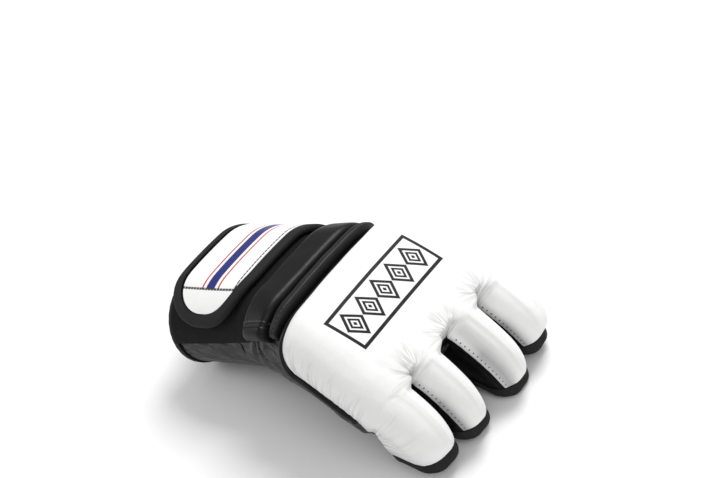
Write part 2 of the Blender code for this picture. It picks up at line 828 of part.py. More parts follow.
def make_thumb():
    """The thumb's sleeve, cut to stand on the hand. It returns the cutter of its hollow."""
    thumb = Thumb()
    turns = [i / 18 for i in range(18)]
    rows = spread(0, 1, 6)

    def place(turn, point):
        return thumb.point(point[0], turn, point[1])

    sleeve = loop("thumb_sleeve", "white_leather", turns, wall(rows, -THUMB_WALL, 0.0), place)
    girths = both_sides(HAND_GIRTHS)
    hand_rows = spread(-WRIST_LENGTH * 0.6, PALM_LENGTH + RUN_ON / 2, 15)
    hand = plug(
        "hand_cutter", girths, hand_rows, lambda girth, s: hand_point(s, girth, LAYER_GAP)
    )
    cut(sleeve, hand)
    tape = [(1 - back / thumb.length, out) for back, out in edge_tape(-THUMB_WALL, 0, TAPE_WIDTH)]
    loop("thumb_tape", "black_tape", turns, tape, place)
    return plug("thumb_cutter", turns, rows, lambda turn, row: thumb.point(row, turn, -THUMB_WALL))


def padded_bar(name, front, width, thickness, reach):
    """A padded bar across the back of the wrist, with rounded edges and ends."""
    rows = ((0.0, 0.30), (0.10, 0.72), (0.30, 1.0), (0.70, 1.0), (0.90, 0.72), (1.0, 0.30))
    ends = ((0.0, 0.25), (0.02, 0.7), (0.06, 1.0))
    columns = list(ends)
    columns += [(share, 1.0) for share in spread(0.06, 0.94, 14)[1:-1]]
    columns += [(1 - share, height) for share, height in reversed(ends)]

    def place(column, row, outer):
        out = LAYER_GAP + (thickness * column[1] * row[1] if outer else 0)
        return wrist_point(mix(*reach, column[0]), front - width + width * row[0], out)

    sheet(name, "black_leather", columns, rows, place)


def make_bars():
    front = -SEAM_WIDTH
    padded_bar("wrist_roll", front, ROLL_WIDTH, ROLL_THICKNESS, ROLL_REACH)
    front -= ROLL_WIDTH + 2 * SEAM_GAP
    padded_bar("wrist_band", front, BAND_WIDTH, BAND_THICKNESS, BAND_REACH)


def make_piping():
    """The piping round the pad's index side, wrist edge and little finger side."""
    out = PIPING_RADIUS + SEAM_GAP
    margin = PIPING_RADIUS + 2 * SEAM_GAP
    radius = PAD_CORNER + margin
    sides = spread(PALM_LENGTH - 1 * MM, radius - margin, 8)[:-1]
    corner = [math.radians(a) for a in range(0, 91, 15)]

    def half(name, side):
        girths = [mix(*PIPING_GIRTHS, s / PALM_LENGTH) for s in sides]
        points = [shell_point(name, side * g, s, out) for g, s in zip(girths, sides)]
        for angle in corner:
            s = radius * (1 - math.sin(angle)) - margin
            edge = hand_section(s).distance_round(mix(*PIPING_GIRTHS, s / PALM_LENGTH))
            points.append(wrist_point(side * (edge - radius * (1 - math.cos(angle))), s, out))
        return points

    left, right = half(FIRST, -1), half(LAST, 1)
    section = hand_section(-margin)
    start = section.distance_round(PIPING_GIRTHS[0]) - radius
    across = [wrist_point(at, -margin, out) for at in spread(-start, start, 14)[1:-1]]
    cord("pad_piping", "black_leather", left + across + right[::-1], PIPING_RADIUS)


def strap_columns(start, end, radius):
    """Columns along a strap with a round end, as (distance round, half its width there)."""
    bend = end - radius
    columns = [(at, radius) for at in spread(start, bend, 13)]
    for angle in (8, 18, 30, 44, 60, 80):
        reach, half = (
            radius * f(math.radians(angle)) ** (2 / STRAP_END_POWER) for f in (math.sin, math.cos)
        )
        columns.append((bend + reach, half))
    return columns


STRAP_MIDDLE = STRAP_FRONT - STRAP_WIDTH / 2


def strap_sheet(name, colour, columns, low, thickness):
    def place(column, share, outer):
        out = low + (thickness if outer else 0)
        return wrist_point(column[0], STRAP_MIDDLE + share * column[1], out)

    taped = 1 - 2 * TAPE_WIDTH / STRAP_WIDTH
    sheet(name, colour, columns, (-1, -taped, 0, taped, 1), place)


def make_loop_panel():
    band_end = -SEAM_WIDTH - ROLL_WIDTH - BAND_WIDTH - 4 * SEAM_GAP
    rows = spread(STRAP_FRONT - STRAP_WIDTH, band_end, 5)

    def place(column, row, outer):
        return wrist_point(column, row, LAYER_GAP + (LOOP_THICKNESS if outer else 0))

    sheet("loop_panel", "black_loop", spread(*LOOP_REACH, 20), rows, place)


def make_strap():
    """The strap, the tape round its edge and the patch on top of it."""
    low = 3 * LAYER_GAP + LOOP_THICKNESS + TAPE_THICKNESS
    high = low + STRAP_THICKNESS
    start, end = STRAP_REACH[0], STRAP_REACH[1] - 2 * SEAM_GAP - TAPE_THICKNESS
    radius = STRAP_WIDTH / 2 - 2 * SEAM_GAP - TAPE_THICKNESS
    edge = strap_columns(start, end, radius)
    strap_sheet("strap", "black_leather", edge, low, STRAP_THICKNESS)

    def tape_place(column, point):
        at, half, side = column
        back, out = point
        if at <= end - radius:
            at += back if at == start else 0
            return wrist_point(at, STRAP_MIDDLE + side * (half - back), out)
        bend, share = end - radius, 1 - back / radius
        return wrist_point(bend + (at - bend) * share, STRAP_MIDDLE + side * half * share, out)

    taped = 1 - 2 * TAPE_WIDTH / STRAP_WIDTH
    ring = [(start, radius, side) for side in (-taped, 0, taped)]
    ring += [(*column, 1) for column in edge] + [(*column, -1) for column in reversed(edge)]
    loop("strap_tape", "black_tape", ring, edge_tape(low, high, TAPE_WIDTH), tape_place)
    inset = TAPE_WIDTH + SEAM_GAP
    patch = strap_columns(PATCH_START, end - inset, radius - inset)
    strap_sheet("strap_patch", "white_leather", patch, high + LAYER_GAP, PATCH_THICKNESS)


def seat_on_floor():
    """Puts the middle of the bottom of the joint bounding box at the origin."""
    bpy.context.view_layer.update()
    graph = bpy.context.evaluated_depsgraph_get()
    points = []
    for piece in bpy.data.collections["glove"].objects:
        shape = piece.evaluated_get(graph)
        points += [vertex.co.copy() for vertex in shape.to_mesh().vertices]
        shape.to_mesh_clear()
    low = Vector([min(point[i] for point in points) for i in range(3)])
    high = Vector([max(point[i] for point in points) for i in range(3)])
    for piece in bpy.data.objects:
        piece.location -= Vector(((low.x + high.x) / 2, (low.y + high.y) / 2, low.z))


def main():
    clear_scene()
    for name in ("glove", "cutters"):
        bpy.context.scene.collection.children.link(bpy.data.collections.new(name))
    make_cuff()
    make_lining()
    make_pad()
    for name in FINGERS:
        make_finger(name)
    names = list(FINGERS)
    for left, right in zip(names, names[1:]):
        make_web(left, right)
    make_palm(make_thumb())
    make_piping()
    make_bars()
    make_loop_panel()
    make_strap()
    seat_on_floor()


main()
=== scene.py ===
"""Looks of the open-palm sparring glove.

The glove's leather lies on one hand form. The form and its sizes are the CAD source's, read here
with finer steps, so that each dressed piece lies where its node is. The padding's edges, the
lining's, the ends of loop field and strap, and the little finger's root follow the photograph more
closely. Lengths are in metres; u and v of a piece's UV map are metres across and along it.
"""

import math
import random

import bmesh
import bpy
import numpy as np
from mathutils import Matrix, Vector


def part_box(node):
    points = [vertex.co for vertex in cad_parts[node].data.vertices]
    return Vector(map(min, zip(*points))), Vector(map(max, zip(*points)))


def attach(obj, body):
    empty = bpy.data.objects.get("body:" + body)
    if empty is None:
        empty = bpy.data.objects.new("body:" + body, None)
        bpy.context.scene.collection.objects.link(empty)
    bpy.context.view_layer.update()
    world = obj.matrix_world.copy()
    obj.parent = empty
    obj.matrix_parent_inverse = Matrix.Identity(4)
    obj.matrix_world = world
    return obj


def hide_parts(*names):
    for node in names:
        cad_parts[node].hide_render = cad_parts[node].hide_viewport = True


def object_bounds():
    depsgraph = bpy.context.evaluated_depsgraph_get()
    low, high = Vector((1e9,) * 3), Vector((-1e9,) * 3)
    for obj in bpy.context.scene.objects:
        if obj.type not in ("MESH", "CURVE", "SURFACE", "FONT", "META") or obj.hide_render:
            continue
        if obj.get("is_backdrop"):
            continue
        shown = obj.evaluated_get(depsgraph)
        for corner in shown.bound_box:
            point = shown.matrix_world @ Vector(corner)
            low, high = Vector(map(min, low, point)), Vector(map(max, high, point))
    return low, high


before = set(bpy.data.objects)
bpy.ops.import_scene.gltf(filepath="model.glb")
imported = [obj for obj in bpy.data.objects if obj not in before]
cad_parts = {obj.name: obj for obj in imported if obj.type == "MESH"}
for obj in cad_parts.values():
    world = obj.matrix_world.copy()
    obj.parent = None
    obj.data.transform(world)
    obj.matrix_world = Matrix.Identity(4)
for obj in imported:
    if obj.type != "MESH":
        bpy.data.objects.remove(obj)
cad_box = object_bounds()
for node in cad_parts.values():
    node.select_set(False)

MM = 0.001
STEP = 0.8 * MM

# The hand form. Its names and sizes are the CAD source's, but TAPE_GAP, TAPE_BULGE,
# EDGE_TAPE_WIDTH, LOOP_REACH, STRAP_REACH, LITTLE_ROOT_DEPTH and LINING_EDGE are the scene's own.
WRIST_LENGTH = 104 * MM
PALM_LENGTH = 67 * MM
WRIST_WIDTH = 81 * MM
WRIST_DEPTH = 49 * MM
KNUCKLE_WIDTH = 110 * MM
KNUCKLE_DEPTH = 33 * MM
BACK_CROWN = 2.5 * MM
REST_PITCH = 7
SHELL_WALL = 1.6 * MM
CUFF_WALL = 2.0 * MM
THUMB_WALL = 1.8 * MM
SEAM_GAP = 0.35 * MM
LAYER_GAP = 0.6 * MM
PAD_THICKNESS = 14 * MM
PAD_CORNER = 13 * MM
PAD_FADE = 24 * MM
PALM_FADE = 7 * MM
SEAM_WIDTH = 6.2 * MM
ROLL_WIDTH = 6.5 * MM
ROLL_THICKNESS = 7 * MM
BAND_WIDTH = 19.5 * MM
BAND_THICKNESS = 6.5 * MM
CUFF_FRONT = -46 * MM
PIPING_RADIUS = 2.0 * MM
TAPE_WIDTH = 5 * MM
TAPE_THICKNESS = 0.9 * MM
TAPE_GAP = 0.12 * MM
TAPE_BULGE = 0.25 * MM
EDGE_TAPE_WIDTH = 3.8 * MM
STRAP_FRONT = -40 * MM
STRAP_WIDTH = 61 * MM
STRAP_THICKNESS = 2.0 * MM
STRAP_END_POWER = 2.4
LOOP_THICKNESS = 1.4 * MM
PATCH_THICKNESS = 1.0 * MM
ROLL_REACH = (-46 * MM, 44 * MM)
BAND_REACH = (-54 * MM, 46 * MM)
LOOP_REACH = (-86 * MM, 51.5 * MM)
STRAP_REACH = (-80 * MM, 40.5 * MM)
PATCH_START = -62 * MM
HAND_SECTIONS = (
    # place, slope, width, depth, corner
    (-1.00, -21, 0.05, 0.00, 0.98),
    (-0.60, -20, 0.00, 0.00, 0.98),
    (-0.35, -16, 0.12, 0.12, 0.96),
    (-0.15, -8, 0.38, 0.32, 0.90),
    (0.00, 1, 0.56, 0.48, 0.84),
    (0.25, 11, 0.72, 0.72, 0.80),
    (0.50, 18, 0.86, 0.88, 0.78),
    (0.75, 23, 0.95, 0.96, 0.78),
    (1.00, 28, 1.00, 1.00, 0.78),
)
FINGERS = {
    # name: width, depth, side, back, palm, splay, curl, taper
    "index": (23.0 * MM, 27 * MM, -0.787, 41 * MM, 16 * MM, -2.4, 32, 0.94),
    "middle": (26.4 * MM, 29 * MM, -0.306, 46 * MM, 18 * MM, -1.5, 34, 0.86),
    "ring": (26.0 * MM, 28 * MM, 0.300, 43 * MM, 17 * MM, 1.5, 34, 0.86),
    "little": (23.6 * MM, 27 * MM, 0.788, 40 * MM, 16.5 * MM, 1.6, 28, 0.93),
}
FINGER_CORNER = 0.74
LITTLE_ROOT_DEPTH = 0.86
FIRST, LAST = "index", "little"
THUMB_WIDTH = 36 * MM
THUMB_HEIGHT = 27 * MM
THUMB_SECTIONS = (
    # across, along, down, width, height
    (-0.62, -0.34, 0.86, 0.45, 0.45),
    (-0.74, -0.12, 0.94, 0.72, 0.76),
    (-0.90, 0.14, 0.99, 0.92, 0.94),
    (-1.04, 0.38, 1.00, 0.98, 1.00),
    (-1.15, 0.60, 1.07, 0.94, 0.96),
    (-1.23, 0.79, 1.14, 0.90, 0.94),
)
PALM_OPENING = (
    # across, along
    (0.00, 0.84),
    (0.42, 0.82),
    (0.67, 0.73),
    (0.71, 0.54),
    (0.60, 0.36),
    (0.45, 0.21),
    (0.32, 0.12),
    (0.00, 0.10),
    (-0.26, 0.12),
    (-0.38, 0.24),
    (-0.50, 0.44),
    (-0.62, 0.62),
    (-0.62, 0.76),
    (-0.38, 0.82),
)
THUMB_PANEL_FRONT = 0.72
THUMB_PANEL_LENGTH = 70 * MM
PAD_EDGE = 1.86
LINING_EDGE = 1.95
PALM_EDGE = 1.96
PIPING_GIRTHS = (1.97, 2.18)
LINE_STEP = 1 * MM
RUN_ON = 6 * MM

# The padding's edges. It leaves each finger bare for PAD_BARE before its mouth. A rounded edge is
# given by its reach, by the share of the height at its foot, and by the power of its curve.
PAD_BARE = 5.0 * MM
TIP_ROUND = 19 * MM
TIP_EDGE = (TIP_ROUND, 0.11, 1.75)
WRIST_EDGE = (9 * MM, 0.24, 2.2)
BAR_END = (6 * MM, 0.2, 2.2)
LOBE_START = 3 * MM
LOBE_FADE = 3.9 * MM
# The girths where the padding ends, beside a finger and on the glove's two sides
LOBE_EDGE = 1.75
WIDE_SLOT_EDGE = 1.6
WRAP_START = PALM_LENGTH - 16 * MM
WRAP_FROM = 1.3
WRAP_EDGE = 2.55
TIP_WRAP_EDGE = 3.2

# How far off the form a piece lies that touches it, and how far pieces at a crotch overlap
LIE = 0.15 * MM
OVERLAP = 0.2 * MM

# How much of the pad's thickness stands at a girth
LITTLE_SIDE_LOFT = (
    (0.0, 1.0), (0.8, 0.99), (1.0, 0.95), (1.12, 0.86), (1.22, 0.72), (1.3, 0.56), (1.4, 0.36),
    (1.54, 0.18), (1.75, 0.05),
)
INDEX_SIDE_LOFT = ((0.0, 1.0), (0.5, 0.98), (1.0, 0.80), (1.2, 0.54), (1.5, 0.16), (1.75, 0.05))
# The middle finger's padding ends on a sewn ledge beside the wide slot
LEDGE_LOFT = (
    (0.0, 1.0), (0.8, 0.98), (1.0, 0.92), (1.11, 0.80), (1.19, 0.50), (1.25, 0.35), (1.33, 0.33),
    (1.41, 0.33), (1.47, 0.2), (1.55, 0.08), (1.6, 0.05),
)
WIDE_LOFT = ((0.0, 1.0), (0.5, 0.95), (1.0, 0.72), (1.2, 0.42), (1.45, 0.10), (1.6, 0.05))
OUTER_LOFT = (
    (0.0, 1.0), (1.0, 0.94), (1.25, 0.82), (1.5, 0.60), (1.75, 0.30), (PAD_EDGE, 0.12),
    (2.05, 0.10), (2.6, 0.09),
)


def mix(a, b, share):
    return a + (b - a) * share


def smooth(share):
    share = min(1.0, max(0.0, share))
    return share * share * (3 - 2 * share)


def spread(low, high, count):
    return [mix(low, high, i / (count - 1)) for i in range(count)]


def along_rows(rows, place):
    """The columns of a table after the first, at a place between its rows, on a smooth curve."""
    last = len(rows) - 2
    at = next((i for i in range(last) if place < rows[i + 1][0]), last)
    before, low = rows[max(at - 1, 0)], rows[at]
    high, after = rows[at + 1], rows[min(at + 2, last + 1)]
    span = high[0] - low[0]
    t = (place - low[0]) / span
    found = []
    for column in range(1, len(low)):
        start = span * (high[column] - before[column]) / (high[0] - before[0])
        end = span * (after[column] - low[column]) / (after[0] - low[0])
        found.append(
            (2 * t**3 - 3 * t**2 + 1) * low[column]
            + (t**3 - 2 * t**2 + t) * start
            + (3 * t**2 - 2 * t**3) * high[column]
            + (t**3 - t**2) * end
        )
    return found


class Section:
    """A rounded rectangle across the form. Its top middle is the point (0, 0)."""

    def __init__(self, width, depth, corner):
        self.half = width / 2
        self.depth = depth
        self.radius = corner * min(self.half, depth / 2)
        self.flat = self.half - self.radius
        self.side = depth - 2 * self.radius
        quarter = self.radius * math.pi / 2
        self.spans = (self.flat, quarter, self.side, quarter, self.flat)

    def point(self, girth, out=0.0):
        g = abs(girth)
        sign = 1 if girth >= 0 else -1
        if g <= 1:
            x, up, nx, nup = g * self.flat, 0.0, 0.0, 1.0
        elif g <= 2:
            nx, nup = math.sin((g - 1) * math.pi / 2), math.cos((g - 1) * math.pi / 2)
            x, up = self.flat + self.radius * nx, self.radius * (nup - 1)
        elif g <= 3:
            x, up, nx, nup = self.half, -self.radius - (g - 2) * self.side, 1.0, 0.0
        elif g <= 4:
            nx, nup = math.cos((g - 3) * math.pi / 2), -math.sin((g - 3) * math.pi / 2)
            x, up = self.flat + self.radius * nx, -self.depth + self.radius * (1 + nup)
        else:
            x, up, nx, nup = (5 - g) * self.flat, -self.depth, 0.0, -1.0
        return sign * (x + out * nx), up + out * nup

    def girth_at(self, across, below=False):
        """The girth this far across, on the top or on the underside."""
        x = abs(across)
        girth = x / self.flat
        if x > self.flat:
            girth = 1 + math.asin(min(1.0, (x - self.flat) / self.radius)) * 2 / math.pi
        return math.copysign(5 - girth if below else girth, across)

    def girth_round(self, distance):
        left = abs(distance)
        sign = 1 if distance >= 0 else -1
        for zone, span in enumerate(self.spans):
            if left <= span:
                return sign * (zone + left / span)
            left -= span
        return sign * 5.0

    def distance_round(self, girth):
        g = abs(girth)
        zone = min(int(g), 4)
        return sum(self.spans[:zone]) + (g - zone) * self.spans[zone]


def place_of(s):
    return s / PALM_LENGTH if s >= 0 else s / WRIST_LENGTH


def hand_slope(s):
    return math.radians(along_rows(HAND_SECTIONS, place_of(s))[0] + REST_PITCH)


known_sections = {}


def hand_section(s):
    if s not in known_sections:
        _, width, depth, corner = along_rows(HAND_SECTIONS, place_of(s))
        width = mix(WRIST_WIDTH, KNUCKLE_WIDTH, width)
        depth = mix(WRIST_DEPTH, KNUCKLE_DEPTH, depth)
        known_sections[s] = Section(width, depth, min(corner, 0.98))
    return known_sections[s]


def ahead_and_up(slope):
    """The directions along a slope and square to it."""
    rise, run = math.sin(slope), math.cos(slope)
    return Vector((0, run, -rise)), Vector((0, rise, run))


def back_line(length):
    """Points of the form's top line, from s = 0 on."""
    steps = math.ceil(abs(length) / LINE_STEP)
    step = length / steps
    points = [Vector((0, 0, 0))]
    for i in range(steps):
        points.append(points[-1] + step * ahead_and_up(hand_slope((i + 0.5) * step))[0])
    return points


def on_line(points, length, s):
    at = s / length * (len(points) - 1)
    low = min(max(int(at), 0), len(points) - 2)
    return points[low] + (points[low + 1] - points[low]) * (at - low)


HAND_LINE = back_line(PALM_LENGTH + RUN_ON)
WRIST_LINE = back_line(-WRIST_LENGTH - RUN_ON)
known_frames = {}


def hand_frame(s):
    """Origin, across, along and up of the form's section at s."""
    if s not in known_frames:
        if s >= 0:
            origin = on_line(HAND_LINE, PALM_LENGTH + RUN_ON, s)
        else:
            origin = on_line(WRIST_LINE, -WRIST_LENGTH - RUN_ON, s)
        known_frames[s] = origin, Vector((1, 0, 0)), *ahead_and_up(hand_slope(s))
    return known_frames[s]


def crown(x, half, up, depth):
    return BACK_CROWN * (x / half) ** 2 * max(0.0, 1 + up / depth)


def hand_point(s, girth, out=0.0):
    origin, across, _, up = hand_frame(s)
    section = hand_section(s)
    x, h = section.point(girth, out)
    on_x, on_h = section.point(girth)
    return origin + across * x + up * (h - crown(on_x, section.half, on_h, section.depth))


def wrist_point(distance, s, out):
    return hand_point(s, hand_section(s).girth_round(distance), out)


class Finger:
    """The form of one finger's sleeve. Its root is the section at the crotches."""

    def __init__(self, name):
        row = FINGERS[name]
        self.width, self.depth, side, self.back, self.palm, splay, curl, self.taper = row
        self.root = side * KNUCKLE_WIDTH / 2
        self.root_depth = LITTLE_ROOT_DEPTH if name == LAST else 1.0
        self.splay, self.curl = math.radians(splay), math.radians(curl)
        steps = math.ceil(self.back / LINE_STEP)
        self.step = self.back / steps
        self.line = [self.frame_at(0)]
        for i in range(steps + 2):
            origin = self.line[-1][0] + self.frame_at((i + 0.5) * self.step)[2] * self.step
            self.line.append((origin, *self.frame_at((i + 1) * self.step)[1:]))

    def frame_at(self, t):
        origin, side, _, _ = hand_frame(PALM_LENGTH)
        slope = hand_slope(PALM_LENGTH) + self.curl * t / self.back
        turn = self.splay * smooth(3 * t / self.back)
        ahead, up = ahead_and_up(slope)
        along = ahead * math.cos(turn) + side * math.sin(turn)
        across = side * math.cos(turn) - ahead * math.sin(turn)
        return origin + side * self.root, across, along, up

    def section(self, t):
        share = mix(1, self.taper, t / self.back)
        depth = self.depth * mix(self.root_depth, 1, smooth(t / (26 * MM)))
        return Section(self.width * share, depth * share, FINGER_CORNER)

    def point(self, t, girth, out=0.0):
        at = min(max(t / self.step, 0), len(self.line) - 1.001)
        low = int(at)
        part = at - low
        first, second = self.line[low], self.line[low + 1]
        origin, across, along, up = (a.lerp(b, part) for a, b in zip(first, second))
        section = self.section(t)
        x, h = section.point(girth, out)
        on_x, on_h = section.point(girth)
        fall = crown(self.root + on_x, KNUCKLE_WIDTH / 2, on_h, section.depth)
        return origin + along * (t - at * self.step) + across * x + up * (h - fall)

    def mouth(self, girth):
        return mix(self.back, self.palm, smooth((abs(girth) - 1) / 3.4))

    def before_mouth(self, girth, distance, out):
        end = self.mouth(girth)
        reach = (self.point(end, girth) - self.point(end - LINE_STEP, girth)).length
        return self.point(end - distance * LINE_STEP / reach, girth, out)


FORMS = {name: Finger(name) for name in FINGERS}
PAIRS = list(zip(FINGERS, list(FINGERS)[1:]))


def knuckle_girth(name, girth):
    finger = FORMS[name]
    outer = (name == LAST and girth >= 2) or (name == FIRST and girth <= -2)
    if outer and abs(girth) <= 3:
        return girth
    across = finger.root + finger.section(0).point(girth)[0]
    section = hand_section(PALM_LENGTH)
    return section.girth_at(across, below=abs(girth) > 2)


known_lifts = {}


def shell_point(name, girth, s, out=0.0, fade=None):
    """A point of the form on the column that runs into this girth of a finger. It leaves the hand's
    section over the last stretch of the palm, as long as fade."""
    if s >= PALM_LENGTH:
        return FORMS[name].point(s - PALM_LENGTH, girth, out)
    key = name, girth, round(out, 6)
    if key not in known_lifts:
        meeting = knuckle_girth(name, girth)
        lift = FORMS[name].point(0, girth, out) - hand_point(PALM_LENGTH, meeting, out)
        known_lifts[key] = meeting, lift
    meeting, lift = known_lifts[key]
    on_hand = hand_point(s, meeting, out)
    fade = fade or mix(PAD_FADE, PALM_FADE, min(1, max(0, abs(girth) - 2)))
    share = smooth((s - PALM_LENGTH + fade) / fade)
    if share == 0:
        return on_hand
    _, across, along, up = hand_frame(s)
    _, _, root_along, root_up = hand_frame(PALM_LENGTH)
    moved = across * lift.x + along * lift.dot(root_along) + up * lift.dot(root_up)
    return on_hand + moved * share


def palm_point(across, s, out=0.0):
    return hand_point(s, hand_section(s).girth_at(across, below=True), out)


def palm_run():
    steps = math.ceil((PALM_LENGTH - CUFF_FRONT) / LINE_STEP)
    rows = [(0.0, CUFF_FRONT)]
    for i in range(steps):
        s = mix(CUFF_FRONT, PALM_LENGTH, (i + 1) / steps)
        rows.append((rows[-1][0] + (palm_point(0, s) - palm_point(0, rows[-1][1])).length, s))
    return rows


PALM_RUN = palm_run()
PALM_REACH = PALM_RUN[-1][0]


def palm_place(share):
    return along_rows(PALM_RUN, share * PALM_REACH)[0]


class Thumb:
    """The thumb's sleeve: oval sections along a line from the wrist to its mouth."""

    def __init__(self):
        self.rows = []
        for i, (across, along, down, width, height) in enumerate(THUMB_SECTIONS):
            origin, side, _, up = hand_frame(along * PALM_LENGTH)
            middle = origin + side * (across * KNUCKLE_WIDTH / 2) - up * (down * KNUCKLE_DEPTH)
            place = i / (len(THUMB_SECTIONS) - 1)
            self.rows.append((place, *middle, width * THUMB_WIDTH, height * THUMB_HEIGHT))
        ends = [Vector(row[1:4]) for row in self.rows]
        self.length = sum((b - a).length for a, b in zip(ends, ends[1:]))

    def point(self, place, turn, out):
        x, y, z, width, height = along_rows(self.rows, place)
        ahead = along_rows(self.rows, place + 0.02)
        behind = along_rows(self.rows, place - 0.02)
        along = (Vector(ahead[:3]) - Vector(behind[:3])).normalized()
        across = along.cross(Vector((0, 0, 1))).normalized()
        up = across.cross(along)
        angle = turn * 2 * math.pi
        on_x = (width / 2 + out) * math.sin(angle)
        on_up = (height / 2 + out) * math.cos(angle)
        return Vector((x, y, z)) + across * on_x + up * on_up


def both_sides(girths):
    return [-g for g in reversed(girths) if 0 < g < 5] + list(girths)


def seat():
    """From the form's frame to the part's: the cuff's node tells where the form rests."""
    girths = both_sides((0, 1, 1.2, 1.4, 1.6, 1.8, 2, 3, 3.25, 3.5, 3.75, 4, 5))
    rows = spread(-WRIST_LENGTH, CUFF_FRONT - SEAM_GAP, 4)
    points = [hand_point(s, g, out) for s in rows for g in girths for out in (-CUFF_WALL, 0)]
    low = Vector([min(point[i] for point in points) for i in range(3)])
    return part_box("cuff")[0] - low


SEAT = seat()
FINE_GIRTHS = both_sides(
    spread(0, 1, 5)[:-1] + spread(1, 2, 9)[:-1] + spread(2, 3, 3)[:-1] + spread(3, 4, 9)[:-1]
    + spread(4, 5, 5)
)


# Pieces


def settle(piece):
    """Makes the piece the only one selected and the active one."""
    bpy.ops.object.select_all(action="DESELECT")
    piece.select_set(True)
    bpy.context.view_layer.objects.active = piece


def new_object(name, bm):
    """An object with this mesh, its faces turned outwards."""
    bmesh.ops.recalc_face_normals(bm, faces=bm.faces)
    if bm.calc_volume(signed=True) < 0:
        bmesh.ops.reverse_faces(bm, faces=bm.faces)
    mesh = bpy.data.meshes.new(name)
    bm.to_mesh(mesh)
    bm.free()
    made = bpy.data.objects.new(name, mesh)
    bpy.context.scene.collection.objects.link(made)
    return made


def finished(piece, finish, smooth_angle=60):
    """Gives the piece its finish, and smooth shading where faces meet at less than the angle."""
    piece.data.materials.append(FINISHES[finish])
    settle(piece)
    bpy.ops.object.shade_smooth_by_angle(angle=math.radians(smooth_angle))
    return piece


def sheet(name, finish, columns, rows, place, missing=None, flat=None):
    """A piece between an inner and an outer face. place(column, row, outer) gives a point, and
    flat(column, row) its place on the UV map."""
    bm = bmesh.new()
    across, along = len(columns) - 1, len(rows) - 1
    bmesh.ops.create_grid(bm, x_segments=across, y_segments=along, size=1)
    number = bm.verts.layers.int.new("number")
    for vertex in bm.verts:
        i = round((vertex.co.x + 1) / 2 * across)
        j = round((vertex.co.y + 1) / 2 * along)
        vertex[number] = i * len(rows) + j
    if missing:
        cells = []
        for face in bm.faces:
            centre = face.calc_center_median()
            i = int((centre.x + 1) / 2 * across)
            j = int((centre.y + 1) / 2 * along)
            if missing(i, j):
                cells.append(face)
        bmesh.ops.delete(bm, geom=cells, context="FACES")
    grown = bmesh.ops.extrude_face_region(bm, geom=bm.faces[:])
    outer = {item for item in grown["geom"] if isinstance(item, bmesh.types.BMVert)}
    uv = bm.loops.layers.uv.new("UVMap")
    spots = {}
    for vertex in bm.verts:
        i, j = divmod(vertex[number], len(rows))
        vertex.co = place(columns[i], rows[j], vertex in outer) + SEAT
        spots[vertex] = flat(columns[i], rows[j]) if flat else (vertex.co.x, vertex.co.y)
    for face in bm.faces:
        for corner in face.loops:
            corner[uv].uv = spots[corner.vert]
    return finished(new_object(name, bm), finish)


def ring(name, finish, columns, profile, place):
    """A closed ring: its profile, a closed outline, goes round the columns."""
    bpy.ops.mesh.primitive_torus_add(
        major_segments=len(columns), minor_segments=len(profile), major_radius=1, minor_radius=0.2
    )
    torus = bpy.context.active_object
    bm = bmesh.new()
    bm.from_mesh(torus.data)
    bpy.data.objects.remove(torus)
    uv = bm.loops.layers.uv.active or bm.loops.layers.uv.new("UVMap")
    count = len(profile)
    lengths = [0.0]
    for i in range(len(columns)):
        step = place(columns[(i + 1) % len(columns)], profile[0]) - place(columns[i], profile[0])
        lengths.append(lengths[-1] + step.length)
    for face in bm.faces:
        at_end = any(corner.vert.index // count == len(columns) - 1 for corner in face.loops)
        for corner in face.loops:
            i, j = divmod(corner.vert.index, count)
            corner[uv].uv = (lengths[-1] if at_end and i == 0 else lengths[i], sum(profile[j]))
    for vertex in bm.verts:
        i, j = divmod(vertex.index, count)
        vertex.co = place(columns[i], profile[j]) + SEAT
    return finished(new_object(name, bm), finish)


def cord(name, finish, points, radius):
    """A round piping along these points, with closed ends."""
    curve = bpy.data.curves.new(name, "CURVE")
    curve.dimensions = "3D"
    curve.bevel_depth = radius
    curve.bevel_resolution = 4
    curve.use_fill_caps = True
    spline = curve.splines.new("POLY")
    spline.points.add(len(points) - 1)
    for point, co in zip(spline.points, points):
        point.co = (*(co + SEAT), 1)
    made = bpy.data.objects.new(name, curve)
    bpy.context.scene.collection.objects.link(made)
    settle(made)
    bpy.ops.object.convert(target="MESH")
    return finished(bpy.context.active_object, finish, 50)


def plug(name, columns, rows, place):
    """A closed cutter: a stack of rings."""
    bm = bmesh.new()
    bmesh.ops.create_cone(
        bm, cap_ends=True, segments=len(columns), radius1=1, radius2=1, depth=2
    )
    sides = [e for e in bm.edges if abs(e.verts[0].co.z - e.verts[1].co.z) > 1]
    if len(rows) > 2:
        bmesh.ops.subdivide_edges(bm, edges=sides, cuts=len(rows) - 2, use_grid_fill=True)
    for vertex in bm.verts:
        turn = math.atan2(vertex.co.x, vertex.co.y) / (2 * math.pi)
        i = round(turn * len(columns)) % len(columns)
        j = round((vertex.co.z + 1) / 2 * (len(rows) - 1))
        vertex.co = place(columns[i], rows[j]) + SEAT
    return new_object(name, bm)


def cut(piece, tool):
    settle(piece)
    modifier = piece.modifiers.new("cut", "BOOLEAN")
    modifier.operation = "DIFFERENCE"
    modifier.solver = "EXACT"
    modifier.object = tool
    bpy.ops.object.modifier_apply(modifier="cut")


def ride(piece, node):
    """Puts the piece on the part's body, in this node's place."""
    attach(piece, "root")
    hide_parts(node)


def declare_sheet(piece, length, rests_on, *with_pieces):
    """Works out the piece's length as a sheet, as long as it is wide when no length is given, and
    does nothing more with it. rests_on, what the piece is sewn to, is not used."""
    area = sum(face.area for face in piece.data.polygons) / 2
    length = length or math.sqrt(area)


